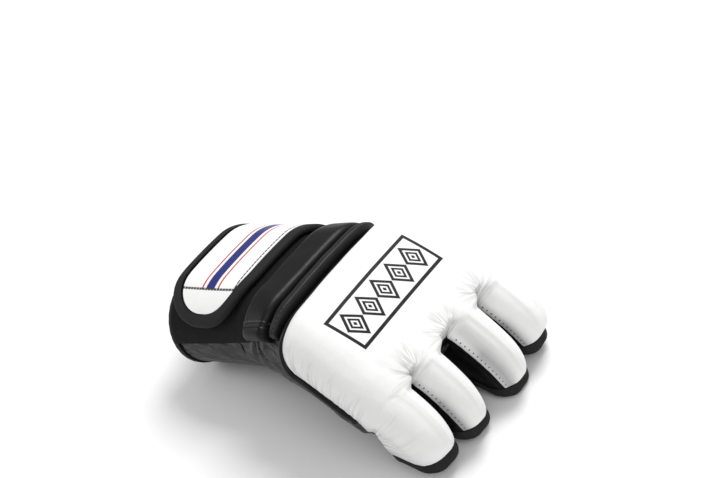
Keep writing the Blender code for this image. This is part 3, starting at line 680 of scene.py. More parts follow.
def move_along_normals(piece, field):
    """Moves each point along its normal by field(u, v, point), in metres."""
    mesh = piece.data

    def read(items, name, width, kind=float):
        values = np.empty(len(items) * width, kind)
        items.foreach_get(name, values)
        return values.reshape(-1, width)

    co, normal = read(mesh.vertices, "co", 3), read(mesh.vertices, "normal", 3)
    spots = np.zeros((len(co), 2))
    corners = read(mesh.loops, "vertex_index", 1, np.int32)[:, 0]
    spots[corners] = read(mesh.uv_layers[0].data, "uv", 2)
    co = co + normal * field(spots[:, 0], spots[:, 1], co)[:, None]
    mesh.vertices.foreach_set("co", co.reshape(-1))
    mesh.update()


def crease(u, v, start, angle, length, width, depth):
    """A crease's depth at each place: a groove from start, fading along its length, between two
    low ridges."""
    along = (u - start[0]) * math.sin(angle) + (v - start[1]) * math.cos(angle)
    off = (u - start[0]) * math.cos(angle) - (v - start[1]) * math.sin(angle)
    share = np.clip(along / length, 0, 1)
    on = (along > -width) & (along < length)
    fade = np.where(on, (1 - share) ** 1.3 * np.clip((along + width) / (3 * width), 0, 1), 0)
    spread_width = width * (1 + 1.2 * share)
    groove = np.exp(-((off / spread_width) ** 2))
    ridges = np.exp(-(((np.abs(off) - 2 * spread_width) / (1.3 * spread_width)) ** 2))
    return depth * fade * (0.35 * ridges - groove)


# Finishes


def give(tree, socket, item):
    """Leads a value or another node's socket into this socket, or sets it to a plain value."""
    item = item.socket if isinstance(item, Value) else item
    if isinstance(item, bpy.types.NodeSocket):
        tree.links.new(item, socket)
    else:
        socket.default_value = item


def operator(operation):
    """A method of Value that leads it through this node of shader maths."""
    return lambda self, *others: self.maths(operation, *others)


class Value:
    """A number on a socket, with the operators of shader maths."""

    __add__ = operator("ADD")
    __sub__ = operator("SUBTRACT")
    __mul__ = operator("MULTIPLY")
    __truediv__ = operator("DIVIDE")
    __lt__ = operator("LESS_THAN")
    __gt__ = operator("GREATER_THAN")
    __abs__ = operator("ABSOLUTE")
    sine = operator("SINE")
    fraction = operator("FRACT")
    low = operator("MINIMUM")
    high = operator("MAXIMUM")

    def __init__(self, tree, socket):
        self.tree, self.socket = tree, socket

    def __rsub__(self, other):
        return self * -1 + other

    def maths(self, operation, *others):
        node = self.tree.nodes.new("ShaderNodeMath")
        node.operation = operation
        for socket, item in zip(node.inputs, (self, *others)):
            give(self.tree, socket, item)
        return Value(self.tree, node.outputs[0])

    def near(self, other, width, soft):
        """1 where the value is within width of other, falling to 0 over soft."""
        away = abs(self - other)
        return ((away - width) / -soft + 1.0).low(1.0).high(0.0)


class Finish:
    """A material under construction."""

    def __init__(self, name, colour, roughness, gloss=0.5):
        self.material = bpy.data.materials.new(name)
        self.material.use_nodes = True
        self.tree = self.material.node_tree
        self.shader = self.tree.nodes["Principled BSDF"]
        self.shader.inputs["Base Color"].default_value = (*colour, 1)
        self.shader.inputs["Roughness"].default_value = roughness
        self.shader.inputs["Specular IOR Level"].default_value = gloss
        self.place = self.tree.nodes.new("ShaderNodeTexCoord").outputs["Object"]

    def node(self, kind, settings=None, **values):
        made = self.tree.nodes.new(kind)
        for key, setting in (settings or {}).items():
            setattr(made, key, setting)
        for key, value in values.items():
            give(self.tree, made.inputs[key.replace("_", " ")], value)
        return made

    def uv(self):
        """u and v of the piece's own map, in metres."""
        node = self.node("ShaderNodeUVMap", {"uv_map": "UVMap"})
        parts = self.node("ShaderNodeSeparateXYZ", Vector=node.outputs[0])
        return Value(self.tree, parts.outputs["X"]), Value(self.tree, parts.outputs["Y"])

    def spot(self, **values):
        """A place made of the values X, Y and Z."""
        return self.node("ShaderNodeCombineXYZ", **values).outputs[0]

    def noise(self, scale, detail=3.0, roughness=0.55, place=None):
        node = self.node(
            "ShaderNodeTexNoise", Scale=scale, Detail=detail, Roughness=roughness,
            Vector=place or self.place,
        )
        return Value(self.tree, node.outputs["Fac"])

    def cells(self, scale, feature="SMOOTH_F1", **values):
        node = self.node(
            "ShaderNodeTexVoronoi", {"feature": feature}, Scale=scale, Vector=self.place, **values
        )
        return Value(self.tree, node.outputs["Distance"])

    def stretched(self, scale):
        """Object coordinates, scaled apart in the three directions."""
        return self.node("ShaderNodeMapping", Vector=self.place, Scale=scale).outputs["Vector"]

    def mix(self, mask, first, second):
        """The first colour where mask is 0 and the second where it is 1."""
        node = self.node("ShaderNodeMix", {"data_type": "RGBA"})
        for index, item in ((0, mask), (6, first), (7, second)):
            give(self.tree, node.inputs[index], (*item, 1) if isinstance(item, tuple) else item)
        return node.outputs[2]

    def bump(self, *layers):
        """Bumps on one another: (height, strength, distance)."""
        normal = None
        for height, strength, distance in layers:
            node = self.node("ShaderNodeBump", Height=height, Strength=strength, Distance=distance)
            if normal:
                self.tree.links.new(normal, node.inputs["Normal"])
            normal = node.outputs["Normal"]
        self.tree.links.new(normal, self.shader.inputs["Normal"])

    def feed(self, socket, value):
        give(self.tree, self.shader.inputs[socket], value)


def highest(values):
    found = values[0]
    for value in values[1:]:
        found = found.high(value)
    return found


def dashes(line, along, pitch, share):
    """A line broken into stitches, each this share of the pitch."""
    return line * ((along / pitch).fraction() < share)


def hairs(finish, detail, roughness, spot):
    """Hair lines along the middle height of a noise."""
    return (1.0 - abs(finish.noise(1.0, detail, roughness, spot) - 0.5) * 12).high(0.0)


def as_leather(finish, colour, grain, more=()):
    """Gives a leather its colour, its pebble grain, its pores and soft creases, and more relief."""
    finish.feed("Base Color", colour)
    pebbles = finish.cells(1 / grain, Smoothness=0.6)
    soft = finish.noise(160, 4)
    creases = abs(finish.noise(260, 5, 0.6, finish.stretched((1.0, 0.45, 0.7))) - 0.5)
    finish.bump(
        (soft, 0.5, 0.5 * MM), (creases, 0.35, 0.25 * MM), (pebbles, 0.4, 0.06 * MM), *more
    )
    return finish.material


def white_start(name, dark, light, roughness, gloss=0.5):
    """A white leather's finish, and its colour between dark and light."""
    finish = Finish(name, (0.86, 0.86, 0.855), 0.42, gloss)
    tone = finish.noise(45, 4)
    finish.feed("Roughness", finish.noise(700, 2) * 0.18 + tone * 0.12 + roughness)
    return finish, finish.mix(tone, dark, light)


PLAIN_WHITE = ((0.80, 0.80, 0.79), (0.90, 0.90, 0.895), 0.27)
PAD_WHITE = ((0.77, 0.77, 0.765), (0.86, 0.86, 0.855), 0.33, 0.14)
WHITE_GRAIN = 0.9 * MM


def white_leather():
    return as_leather(*white_start("white_leather", *PLAIN_WHITE), WHITE_GRAIN)


def black_leather(name, roughness=0.30, gloss=0.26, grain=0.8 * MM, folds=0.0, seam=None):
    """Black leather. folds is the depth of its slack folds, and seam(u, v) gives a groove with
    stitches in it: (groove, stitches)."""
    finish = Finish(name, (0.008, 0.008, 0.009), roughness, gloss)
    tone = finish.noise(60, 4)
    colour = finish.mix(tone, (0.003, 0.003, 0.0035), (0.008, 0.008, 0.009))
    more = []
    if folds:
        bend = finish.noise(48, 3, 0.5, finish.stretched((0.8, 0.5, 1.5)))
        ridges = 1.0 - abs(bend - 0.5) * 5
        more.append((ridges.high(0.0), 0.7, folds))
    if seam:
        groove, stitches = seam(*finish.uv())
        colour = finish.mix(stitches, colour, (0.05, 0.05, 0.052))
        more.append((stitches * 0.5 - groove, 0.8, 0.8 * MM))
    finish.feed("Roughness", finish.noise(600, 3) * 0.2 + tone * 0.15 + (roughness - 0.12))
    return as_leather(finish, colour, grain, more)


def band_seam(u, v):
    """The wide band's end is folded under and sewn across."""
    groove = u.near(BAND_REACH[1] - 7 * MM, 0.5 * MM, 0.5 * MM)
    line = u.near(BAND_REACH[1] - 8.4 * MM, 0.22 * MM, 0.15 * MM)
    return groove, dashes(line, v, 2 * MM, 0.6)


def roll_seam(u, v):
    """The thin roll is sewn along its side next to the padding."""
    groove = v.near(-SEAM_WIDTH - 2.2 * MM, 0.35 * MM, 0.3 * MM)
    line = v.near(-SEAM_WIDTH - 2.2 * MM, 0.2 * MM, 0.1 * MM)
    return groove, dashes(line, u, 2 * MM, 0.6)


def woven_tape():
    """Binding tape: fine ribs along it, crossed by its weft."""
    finish = Finish("binding_tape", (0.02, 0.02, 0.021), 0.7, 0.18)
    u, v = finish.uv()
    ribs = (v * (2 * math.pi / (0.55 * MM))).sine() * 0.5 + 0.5
    weft = (u * (2 * math.pi / (0.45 * MM))).sine() * 0.5 + 0.5
    fuzz = finish.noise(1500, 3)
    height = ribs * 0.6 + weft * 0.4
    tone = height * 0.5 + fuzz * 0.5
    finish.feed("Base Color", finish.mix(tone, (0.005, 0.005, 0.006), (0.022, 0.022, 0.023)))
    finish.feed("Roughness", fuzz * 0.25 + 0.55)
    finish.bump((height, 0.5, 0.12 * MM), (fuzz, 0.3, 0.1 * MM))
    return finish.material


def loop_pile():
    """The loop side of a hook-and-loop closure: matte, brushed pile."""
    finish = Finish("loop_pile", (0.006, 0.006, 0.007), 0.95, 0.15)
    curls = finish.cells(1100, "F1")
    fuzz = finish.noise(2200, 4, 0.7)
    clumps = finish.noise(180, 4)
    tone = curls * 0.3 + fuzz * 0.4 + clumps * 0.3
    finish.feed("Base Color", finish.mix(tone, (0.002, 0.002, 0.002), (0.016, 0.016, 0.017)))
    finish.feed("Roughness", fuzz * 0.2 + 0.8)
    finish.bump((clumps, 0.5, 0.4 * MM), (curls, 0.8, 0.3 * MM), (fuzz, 0.6, 0.2 * MM))
    return finish.material


def on_map(name, girth):
    """Where a girth of a finger lies across the padding's map."""
    finger = FORMS[name]
    return finger.root + math.copysign(finger.section(0).distance_round(girth), girth)


# The slots between the fingers' padding: where on the map each lies, and half its width
SLOTS = []
for (left, right), white_to in zip(PAIRS, (1.53, 1.45, 1.46)):
    low_edge, high_edge = on_map(left, white_to), on_map(right, -1.5)
    SLOTS.append(((low_edge + high_edge) / 2, (high_edge - low_edge) / 2))

# The ornament on the back of the hand: nested lozenges in a frame, straight across the hand
ORNAMENT_CENTRE = (1 * MM, 30 * MM)
LOZENGE = (13 * MM, 9 * MM)
LOZENGES = 5


def ornament(finish, v):
    parts = finish.node("ShaderNodeSeparateXYZ", Vector=finish.place)
    x = Value(finish.tree, parts.outputs["X"]) - (SEAT.x + ORNAMENT_CENTRE[0])
    y = abs(v - ORNAMENT_CENTRE[1])
    pitch, high = LOZENGE
    end = LOZENGES * pitch / 2
    diamond = abs((x / pitch + 0.5).fraction() - 0.5) * 2 + y / high
    inside = (y < high) * (abs(x) < end)
    lines = diamond.near(0.84, 0.135, 0.02).high(diamond.near(0.42, 0.10, 0.02))
    lines = lines.high(diamond < 0.15) * inside
    frame_away = (abs(x) - end).high(y - high)
    return lines.high(frame_away.near(1.8 * MM, 0.85 * MM, 0.12 * MM)).low(1.0)


def hand_back_leather():
    """White leather of the padded back: black leather in the slots, stitches along them, and fine
    pucker lines that fan out from each crotch and come in from the two outer edges. The pucker
    lines are grooved and darkened with painted shade, and painted shade darkens the base of one
    wall of each slot."""
    finish, white = white_start("hand_back_leather", *PAD_WHITE)
    u, v = finish.uv()
    slots, stitches, fans, slot_wall_shades = [], [], [], []
    for i, (centre, half) in enumerate(SLOTS):
        across, along = u - centre, v - PALM_LENGTH
        short = along.low(0.0)
        away = (across * across + short * short).maths("SQRT")
        slots.append((away < half) * (along > -1.2 * MM))
        stitch = away.near(half + 1.2 * MM, 0.2 * MM, 0.12 * MM) * (along > 1.5 * MM)
        stitches.append(dashes(stitch, v, 2.6 * MM, 0.26))
        radius = (across * across + along * along).maths("SQRT")
        angle = across.maths("ARCTAN2", along)
        spot = finish.spot(X=angle * 4.0, Y=radius * 30, Z=float(3 * i))
        turn = finish.spot(X=angle * 1.6, Y=float(5 * i + 2))
        fade = (1.0 - radius / (finish.noise(1.0, 1, 0.5, turn) * (30 * MM))).high(0.0)
        fan = hairs(finish, 4, 0.65, spot) * fade
        fans.append(fan * ((4 * MM - along) / (5 * MM)).low(1.0).high(0.0))
        # Painted shade along the base of the slot's wall that faces the little finger; it fades out
        # at the crotch
        slot_wall_shade = away.near(half + (2.4 * MM if i == 1 else 0.8 * MM), 0.8 * MM, 3.4 * MM)
        slot_wall_shades.append(slot_wall_shade * (across < 0.0) * (along / (16 * MM) - 0.1).low(1.0).high(0.0))
    inward = (u - on_map(FIRST, -PAD_EDGE)).low(on_map(LAST, PAD_EDGE) - u)
    reach = finish.noise(1.0, 1, 0.5, finish.spot(X=v * 160))
    fade = (1.0 - inward / (reach * (15 * MM))).high(0.0)
    edge_hairs = hairs(finish, 3, 0.6, finish.spot(X=u * 50, Y=v * 240)) * fade * 0.7
    puckers_and_shade, dots, shade = highest([*fans, edge_hairs]), highest(stitches), highest(slot_wall_shades)
    # Painted shade: the pucker lines and the shade along the slots' walls darken the white leather
    shaded = finish.mix((shade * shade * 0.5).high(puckers_and_shade * 0.7), white, (0.10, 0.10, 0.105))
    inked = finish.mix(ornament(finish, v), shaded, (0.002, 0.002, 0.002))
    sewn = finish.mix(dots, inked, (0.12, 0.12, 0.12))
    colour = finish.mix(highest(slots), sewn, (0.007, 0.007, 0.008))
    return as_leather(finish, colour, WHITE_GRAIN, [(puckers_and_shade + dots, -0.8, 0.6 * MM)])


# The strap's patch: where its cross seam and its long seam lie, and the middle of its stripe
PATCH_LINE = 24.2 * MM
PATCH_SIDE = 21 * MM
STRIPE = 1.5 * MM


def patch_leather():
    """White leather of the strap's patch: a plain blue stripe between thin red ones along it, and a
    sewn line along its edge and across its end."""
    finish, white = white_start("patch_leather", *PLAIN_WHITE)
    u, v = finish.uv()
    body = u < PATCH_LINE
    blue = v.near(STRIPE, 3.4 * MM, 0.1 * MM) * body
    red = (abs(v - STRIPE)).near(6.4 * MM, 0.55 * MM, 0.1 * MM) * body
    long_line = v.near(PATCH_SIDE, 0.5 * MM, 0.1 * MM) * body
    cross_line = u.near(PATCH_LINE, 0.5 * MM, 0.1 * MM) * (v < PATCH_SIDE + 0.5 * MM)
    sewn = dashes(long_line, u, 2.4 * MM, 0.85).high(dashes(cross_line, v, 2.4 * MM, 0.85))
    colour = finish.mix(blue, white, (0.006, 0.010, 0.15))
    colour = finish.mix(red, colour, (0.45, 0.015, 0.02))
    colour = finish.mix(sewn, colour, (0.02, 0.02, 0.02))
    return as_leather(finish, colour, WHITE_GRAIN, [(sewn, -0.6, 0.4 * MM)])


FINISHES = {
    "pad": hand_back_leather(),
    "white": white_leather(),
    "patch": patch_leather(),
    "black": black_leather("black_leather"),
    "soft_black": black_leather("soft_black_leather", 0.34, 0.34, 1.1 * MM, 2.2 * MM),
    "wide_band": black_leather("band_leather", 0.36, 0.2, seam=band_seam),
    "thin_roll": black_leather("roll_leather", 0.46, 0.34, seam=roll_seam),
    "tape": woven_tape(),
    "loop": loop_pile(),
}


# The padded back


def steps_between(low, high, step):
    return spread(low, high, max(2, math.ceil((high - low) / step) + 1))


def finger_girths(name):
    """The pad's fine columns over one finger, from its index side to its little finger side."""
    finger = FORMS[name]
    left = PAD_EDGE if name == FIRST else WIDE_SLOT_EDGE if name == "ring" else LOBE_EDGE
    right = PAD_EDGE if name == LAST else WIDE_SLOT_EDGE if name == "middle" else LOBE_EDGE
    section = finger.section(0)
    corner = section.spans[1]

    def side(edge):
        return steps_between(1.0, edge, STEP / corner)

    flat = steps_between(-1.0, 1.0, STEP / section.flat)
    return [-g for g in reversed(side(left))] + flat[1:-1] + side(right)


def pad_loft(name, girth, on_finger):
    """The share of the pad's thickness at this girth."""
    right = girth >= 0
    outer = name == (LAST if right else FIRST)
    wide = name == ("middle" if right else "ring")
    if not on_finger and not outer:
        return 1.0
    inner = LITTLE_SIDE_LOFT if right else INDEX_SIDE_LOFT
    beside_wide = LEDGE_LOFT if right else WIDE_LOFT
    table = OUTER_LOFT if outer else beside_wide if wide else inner
    return max(0.03, along_rows(table, min(abs(girth), table[-1][0]))[0])


def corner_inset(name, girth, s):
    section = hand_section(s)
    edge = section.distance_round(PAD_EDGE)
    reach = edge - section.distance_round(knuckle_girth(name, girth))
    lack = min(1.0, max(0.0, 1 - reach / PAD_CORNER))
    return PAD_CORNER * (1 - math.sqrt(1 - lack * lack))


def edge_height(distance, reach, low, power):
    """How high the padding stands this far in from an edge that is rounded over reach."""
    share = min(1.0, max(0.0, distance / reach))
    return low + (1 - low) * math.sqrt(1 - (1 - share) ** power)


def wrapped(name, girth, s):
    """Towards the fingers the white leather goes further down the glove's two sides."""
    outer = name == (LAST if girth >= 0 else FIRST)
    if not outer or abs(girth) < WRAP_FROM:
        return girth
    edge = mix(PAD_EDGE, WRAP_EDGE, smooth((s - WRAP_START) / (24 * MM)))
    edge = mix(edge, TIP_WRAP_EDGE, smooth((s - PALM_LENGTH) / (30 * MM)))
    share = (abs(girth) - WRAP_FROM) / (PAD_EDGE - WRAP_FROM)
    return math.copysign(WRAP_FROM + share * (edge - WRAP_FROM), girth)


def tip_place(finger, girth, row):
    """How far past the crotch a row of a finger's padding lies."""
    zone, value = row
    reach = finger.mouth(girth) - PAD_BARE
    return value * (reach - TIP_ROUND) if zone == "finger" else reach - value


def pad_point(column, row, outer):
    name, girth = column
    zone, value = row
    finger = FORMS[name]
    height = 1.0
    if zone == "palm":
        left = 1 - value / PALM_LENGTH
        s = value + corner_inset(name, girth, value) * left * left
        on_form = wrapped(name, girth, s)
        height = edge_height(value, *WRIST_EDGE)
    else:
        on_form = wrapped(name, girth, PALM_LENGTH + tip_place(finger, girth, row))
        s = PALM_LENGTH + tip_place(finger, on_form, row)
        if zone == "tip":
            height = edge_height(value, *TIP_EDGE)
    if not outer:
        return shell_point(name, on_form, s, OVERLAP)
    start = LOBE_START * (1 - min(1, max(0, abs(girth) - 1) / 0.6))
    share = smooth((s - PALM_LENGTH + LOBE_FADE - start) / LOBE_FADE)
    loft = mix(pad_loft(name, on_form, False), pad_loft(name, on_form, True), share)
    return shell_point(name, on_form, s, LAYER_GAP + PAD_THICKNESS * loft * height, LOBE_FADE)


def pad_flat(column, row):
    name, girth = column
    finger, across = FORMS[name], on_map(name, girth)
    if row[0] == "palm":
        return across, row[1]
    return across, PALM_LENGTH + tip_place(finger, girth, row)


CROTCHES = [
    (FORMS[a].root + FORMS[a].width / 2 + FORMS[b].root - FORMS[b].width / 2) / 2
    for a, b in PAIRS
]


# Puckers that come in from the sewn edges: the finger, the edge's girth and where the row starts;
# how many, the first and the pitch in mm; how far they stray in mm and lean in degrees; the
# widest and the depths in mm. The first row is for the slots, the second for the outer edges.
EDGE_PUCKERS = [
    (name, side * LOBE_EDGE, PALM_LENGTH, 7, 3, 4.6, 1.2, 28, 0.9, (0.12, 0.28))
    for name in FINGERS
    for side in (-1, 1)
] + [
    (name, girth, 0.0, 24, 4, 3.9, 1.3, 25, 1.0, (0.15, 0.3))
    for name, girth in ((FIRST, -PAD_EDGE), (LAST, PAD_EDGE))
]
SOFT_CREASES = (
    # across, along, angle in degrees, length, depth
    (26, 63, 215, 26, 0.5),
    (24, 58, 232, 22, 0.4),
    (38, 55, 150, 18, 0.35),
    (-24, 62, 150, 20, 0.4),
    (6, 62, 200, 24, 0.35),
    (-8, 63, 165, 18, 0.3),
)


def pad_creases(u, v, co):
    """Puckers that fan out from each crotch, along the slots, and in from the sewn edges."""
    moved = np.zeros(len(u))
    dice = random.Random(11)
    for crotch in CROTCHES:
        for turn in (-78, -62, -47, -33, -18, -6, 8, 21, 36, 50, 66, 80):
            angle = math.radians(180 + turn + dice.uniform(-5, 5))
            length = dice.uniform(8, 19) * MM * (1.25 - abs(turn) / 140)
            start = (
                crotch + dice.uniform(0.8, 1.6) * MM * math.sin(angle),
                PALM_LENGTH + dice.uniform(0.0, 1.2) * MM,
            )
            depth = dice.uniform(0.4, 0.8) * MM
            moved += crease(u, v, start, angle, length, dice.uniform(0.7, 1.1) * MM, depth)
    for name, girth, base, count, first, pitch, stray, lean, widest, depths in EDGE_PUCKERS:
        for i in range(count):
            v0 = base + (first + pitch * i + dice.uniform(-stray, stray)) * MM
            angle = math.radians(-math.copysign(90 + dice.uniform(-lean, lean), girth))
            moved += crease(
                u, v, (on_map(name, girth), v0), angle, dice.uniform(5, 9) * MM,
                dice.uniform(0.6, widest) * MM, dice.uniform(*depths) * MM,
            )
    for across, along, angle, length, depth in SOFT_CREASES:
        moved += crease(
            u, v, (across * MM, along * MM), math.radians(angle), length * MM, 1.8 * MM, depth * MM
        )
    soft = np.sin(u / (7.3 * MM) + 1.7 * np.sin(v / (11 * MM)))
    soft = soft * np.sin(v / (8.9 * MM) + 1.3 * np.sin(u / (13 * MM)))
    return moved + 0.10 * MM * soft


def make_pad():
    columns = [(name, girth) for name in FINGERS for girth in finger_girths(name)]
    rows = [("palm", s) for s in steps_between(0.0, PALM_LENGTH, STEP)]
    crotch = len(rows) - 1
    rows += [("finger", share) for share in steps_between(0.0, 1.0, STEP / (22 * MM))[1:]]
    rows += [("tip", back) for back in reversed(steps_between(0.0, TIP_ROUND, STEP * 0.8)[:-1])]

    def is_slot(i, j):
        return columns[i][0] != columns[i + 1][0] and j >= crotch

    pad = sheet("back_padding", "pad", columns, rows, pad_point, is_slot, pad_flat)
    move_along_normals(pad, pad_creases)
    ride(pad, "hand_pad")


make_pad()

# Shell and lining


def folded_tape(inner, outer, width):
    """A binding tape's outline, folded over a wall's edge."""
    low, high = outer + TAPE_GAP, outer + TAPE_GAP + TAPE_THICKNESS
    under, under_low = inner - TAPE_GAP, inner - TAPE_GAP - TAPE_THICKNESS
    middle, reach = (high + under_low) / 2, (high - under_low) / 2
    outline = [(width, low), (width + TAPE_BULGE, (low + high) / 2)]
    outline += [(back, high) for back in spread(width, 0.0, 4)]
    for angle in spread(0, math.pi, 9)[1:-1]:
        outline.append((-0.9 * reach * math.sin(angle), middle + reach * math.cos(angle)))
    outline += [(back, under_low) for back in spread(0.0, width, 4)]
    outline += [(width + TAPE_BULGE, (under + under_low) / 2), (width, under)]
    return outline + [(-0.2 * MM, under), (-0.2 * MM, low)]


def wall(rows, inner, outer):
    """The outline of a wall between two faces."""
    return [(row, outer) for row in rows] + [(row, inner) for row in reversed(rows)]


def soft_folds(size, height, seed):
    """Slow folds over a piece of leather."""
    dice = random.Random(seed)
    waves = [
        (dice.uniform(-1, 1), dice.uniform(-1, 1), dice.uniform(-1, 1), dice.uniform(0, 6.3))
        for _ in range(7)
    ]

    def field(u, v, co):
        total = np.zeros(len(u))
        for x, y, z, phase in waves:
            reach = math.sqrt(x * x + y * y + z * z)
            total += np.sin((co @ np.array((x, y, z))) / (reach * size) * 6.283 + phase)
        return height * total / 3

    return field


FOLD_CENTRE = wrist_point(BAND_REACH[1] - 2 * MM, -30 * MM, 0.0)
FOLD_HEIGHT, FOLD_START, FOLD_REACH = 0.8 * MM, 9 * MM, 24 * MM
BULGE_CENTRE = shell_point(LAST, 2.5, 45 * MM)
BULGE_HEIGHT, BULGE_REACH = 2.6 * MM, 6.5 * MM


def slack(point):
    """How far slack leather stands out on the little finger's side: folds that fan out from under
    the wide band's end, and a small bulge below the padding's edge."""
    away = point - FOLD_CENTRE
    reach = away.length
    angle = math.atan2(away.z, away.y)
    fold = math.sin(angle * 9 + 60 * reach) + 0.3 * math.sin(angle * 17 + 2)
    fan = FOLD_HEIGHT * fold * min(1, reach / FOLD_START) * math.exp(-((reach / FOLD_REACH) ** 2))
    near = (point - BULGE_CENTRE).length
    return fan + BULGE_HEIGHT * math.exp(-((near / BULGE_REACH) ** 2))


def make_finger(name):
    finger = FORMS[name]

    def sleeve_place(girth, point):
        return finger.point(mix(0.0, finger.mouth(girth), point[0]), girth, point[1])

    profile = wall(spread(0, 1, 18), -SHELL_WALL, 0.0)
    sleeve = ring(name + "_finger", "black", FINE_GIRTHS, profile, sleeve_place)
    move_along_normals(sleeve, soft_folds(9 * MM, 0.10 * MM, len(name)))
    tape = folded_tape(-SHELL_WALL, 0.0, PAD_BARE - 0.8 * MM)
    binding = ring(
        name + "_binding", "tape", FINE_GIRTHS, tape, lambda g, at: finger.before_mouth(g, *at)
    )
    ride(sleeve, name + "_sleeve")
    ride(binding, name + "_tape")
    declare_sheet(sleeve, finger.back, "palm_leather", binding)


for name in FINGERS:
    make_finger(name)

# How thick a web is, how far it bows towards the fingertips and how far its top sags
WEB_THICKNESS, WEB_BOW, WEB_SAG = 1.4 * MM, 0.8 * MM, 1.2 * MM


def make_web(left, right):
    """The wall between two fingers' sleeves, sagging a little between them."""
    girths = spread(1.45, 2, 7) + spread(2, 3, 6)[1:] + spread(3, 3.8, 8)[1:]
    _, _, along, up = hand_frame(PALM_LENGTH)

    def place(share, girth, outer):
        a = FORMS[left].point(OVERLAP, girth, OVERLAP)
        b = FORMS[right].point(OVERLAP, -girth, OVERLAP)
        sag = 4 * share * (1 - share)
        lift = -sag * WEB_SAG if girth < 1.6 else 0
        ahead = (WEB_THICKNESS if outer else 0) + sag * WEB_BOW
        return a.lerp(b, share) + along * ahead + up * lift

    web = sheet(left + "_gusset", "soft_black", spread(0, 1, 7), girths, place)
    ride(web, left + "_web")
    declare_sheet(web, None, left + "_sleeve")


for left, right in PAIRS:
    make_web(left, right)


def slack_point(column, s, outer):
    """A point of a shell wall whose two faces move alike with the slack leather."""
    out = slack(shell_point(*column, s))
    return shell_point(*column, s, out if outer else out - SHELL_WALL)


def make_lining():
    columns = [(FIRST, -LINING_EDGE)]
    columns += [(name, g) for name in FINGERS for g in spread(-LOBE_EDGE, LOBE_EDGE, 15)]
    columns += [(LAST, (LOBE_EDGE + LINING_EDGE) / 2), (LAST, LINING_EDGE)]
    rows = spread(CUFF_FRONT + SEAM_GAP, PALM_LENGTH - OVERLAP, 110)
    lining = sheet("inner_lining", "soft_black", columns, rows, slack_point)
    ride(lining, "back_lining")
    declare_sheet(lining, PALM_LENGTH - CUFF_FRONT, "hand_pad")


make_lining()


def opening_outline():
    """A smooth closed curve through PALM_OPENING."""
    count, steps = len(PALM_OPENING), 6
    rows = [(i, *PALM_OPENING[i % count]) for i in range(-1, count + 2)]
    places = [along_rows(rows, step / steps) for step in range(count * steps)]
    return [(x * KNUCKLE_WIDTH / 2, along * PALM_REACH) for x, along in places]


def opening_rim():
    """The palm opening's outline, each point with the direction away from the hole."""
    points = opening_outline()
    rim = []
    for i, (x, along) in enumerate(points):
        next_x, next_along = points[(i + 1) % len(points)]
        last_x, last_along = points[i - 1]
        length = math.hypot(next_x - last_x, next_along - last_along)
        rim.append((x, along, -(next_along - last_along) / length, (next_x - last_x) / length))
    return rim


def rim_point(rim, back, out):
    """A point this far back from the palm opening's edge."""
    x, along, away_x, away_along = rim
    share = (along + back * away_along) / PALM_REACH
    return palm_point(x + back * away_x, palm_place(share), out)


# From inside the hand to outside of it
CUTTER_REACH = (-16 * MM, 10 * MM)


def make_palm(thumb_hollow):
    rim = opening_rim()
    hole = plug("palm_cutter", rim, CUTTER_REACH, lambda point, out: rim_point(point, 0, out))
    corner = (PALM_EDGE, 2, *spread(2, 3, 4)[1:-1], *spread(3, 4, 9)[:-1])
    columns = [(FIRST, -g) for g in corner]
    for name in FINGERS:
        left = () if name == FIRST else (-3.33, -3.67)
        right = () if name == LAST else (3.67, 3.33)
        inside = [-4, -4.33, -4.67, -5, 4.67, 4.33, 4]
        columns += [(name, g) for g in (*left, *inside, *right)]
    columns += [(LAST, g) for g in reversed(corner)]
    fade_start = 1 - PALM_FADE / PALM_REACH
    rows = spread(0.0, fade_start, 44) + spread(fade_start, 1.0, 6)[1:]
    side = columns.index(("middle", -5))
    front = next(i for i, row in enumerate(rows) if row > THUMB_PANEL_FRONT * fade_start)

    def place(column, share, outer):
        s = min(max(palm_place(share), CUFF_FRONT + SEAM_GAP), PALM_LENGTH - OVERLAP)
        return slack_point(column, s, outer)

    def is_thumbs(i, j):
        return i < side and j < front

    leather = sheet("palm_shell", "soft_black", columns, rows, place, is_thumbs)
    cut(leather, hole)
    cut(leather, thumb_hollow)

    def thumb_place(column, share, outer):
        share = min(share, rows[front] - SEAM_GAP / PALM_REACH)
        point = place(column, share, outer)
        if column == columns[side]:
            point.x -= SEAM_GAP
        return point

    panel = sheet("thumb_root", "white", columns[: side + 1], rows[: front + 1], thumb_place)
    cut(panel, hole)
    cut(panel, thumb_hollow)
    tape = folded_tape(-SHELL_WALL, 0.0, TAPE_WIDTH)
    binding = ring("opening_binding", "tape", rim, tape, lambda p, at: rim_point(p, *at))
    ride(leather, "palm_leather")
    ride(panel, "thumb_panel")
    ride(binding, "palm_tape")
    declare_sheet(leather, PALM_REACH, "hand_pad", binding)
    declare_sheet(panel, THUMB_PANEL_LENGTH, "palm_leather")
    bpy.data.objects.remove(hole)


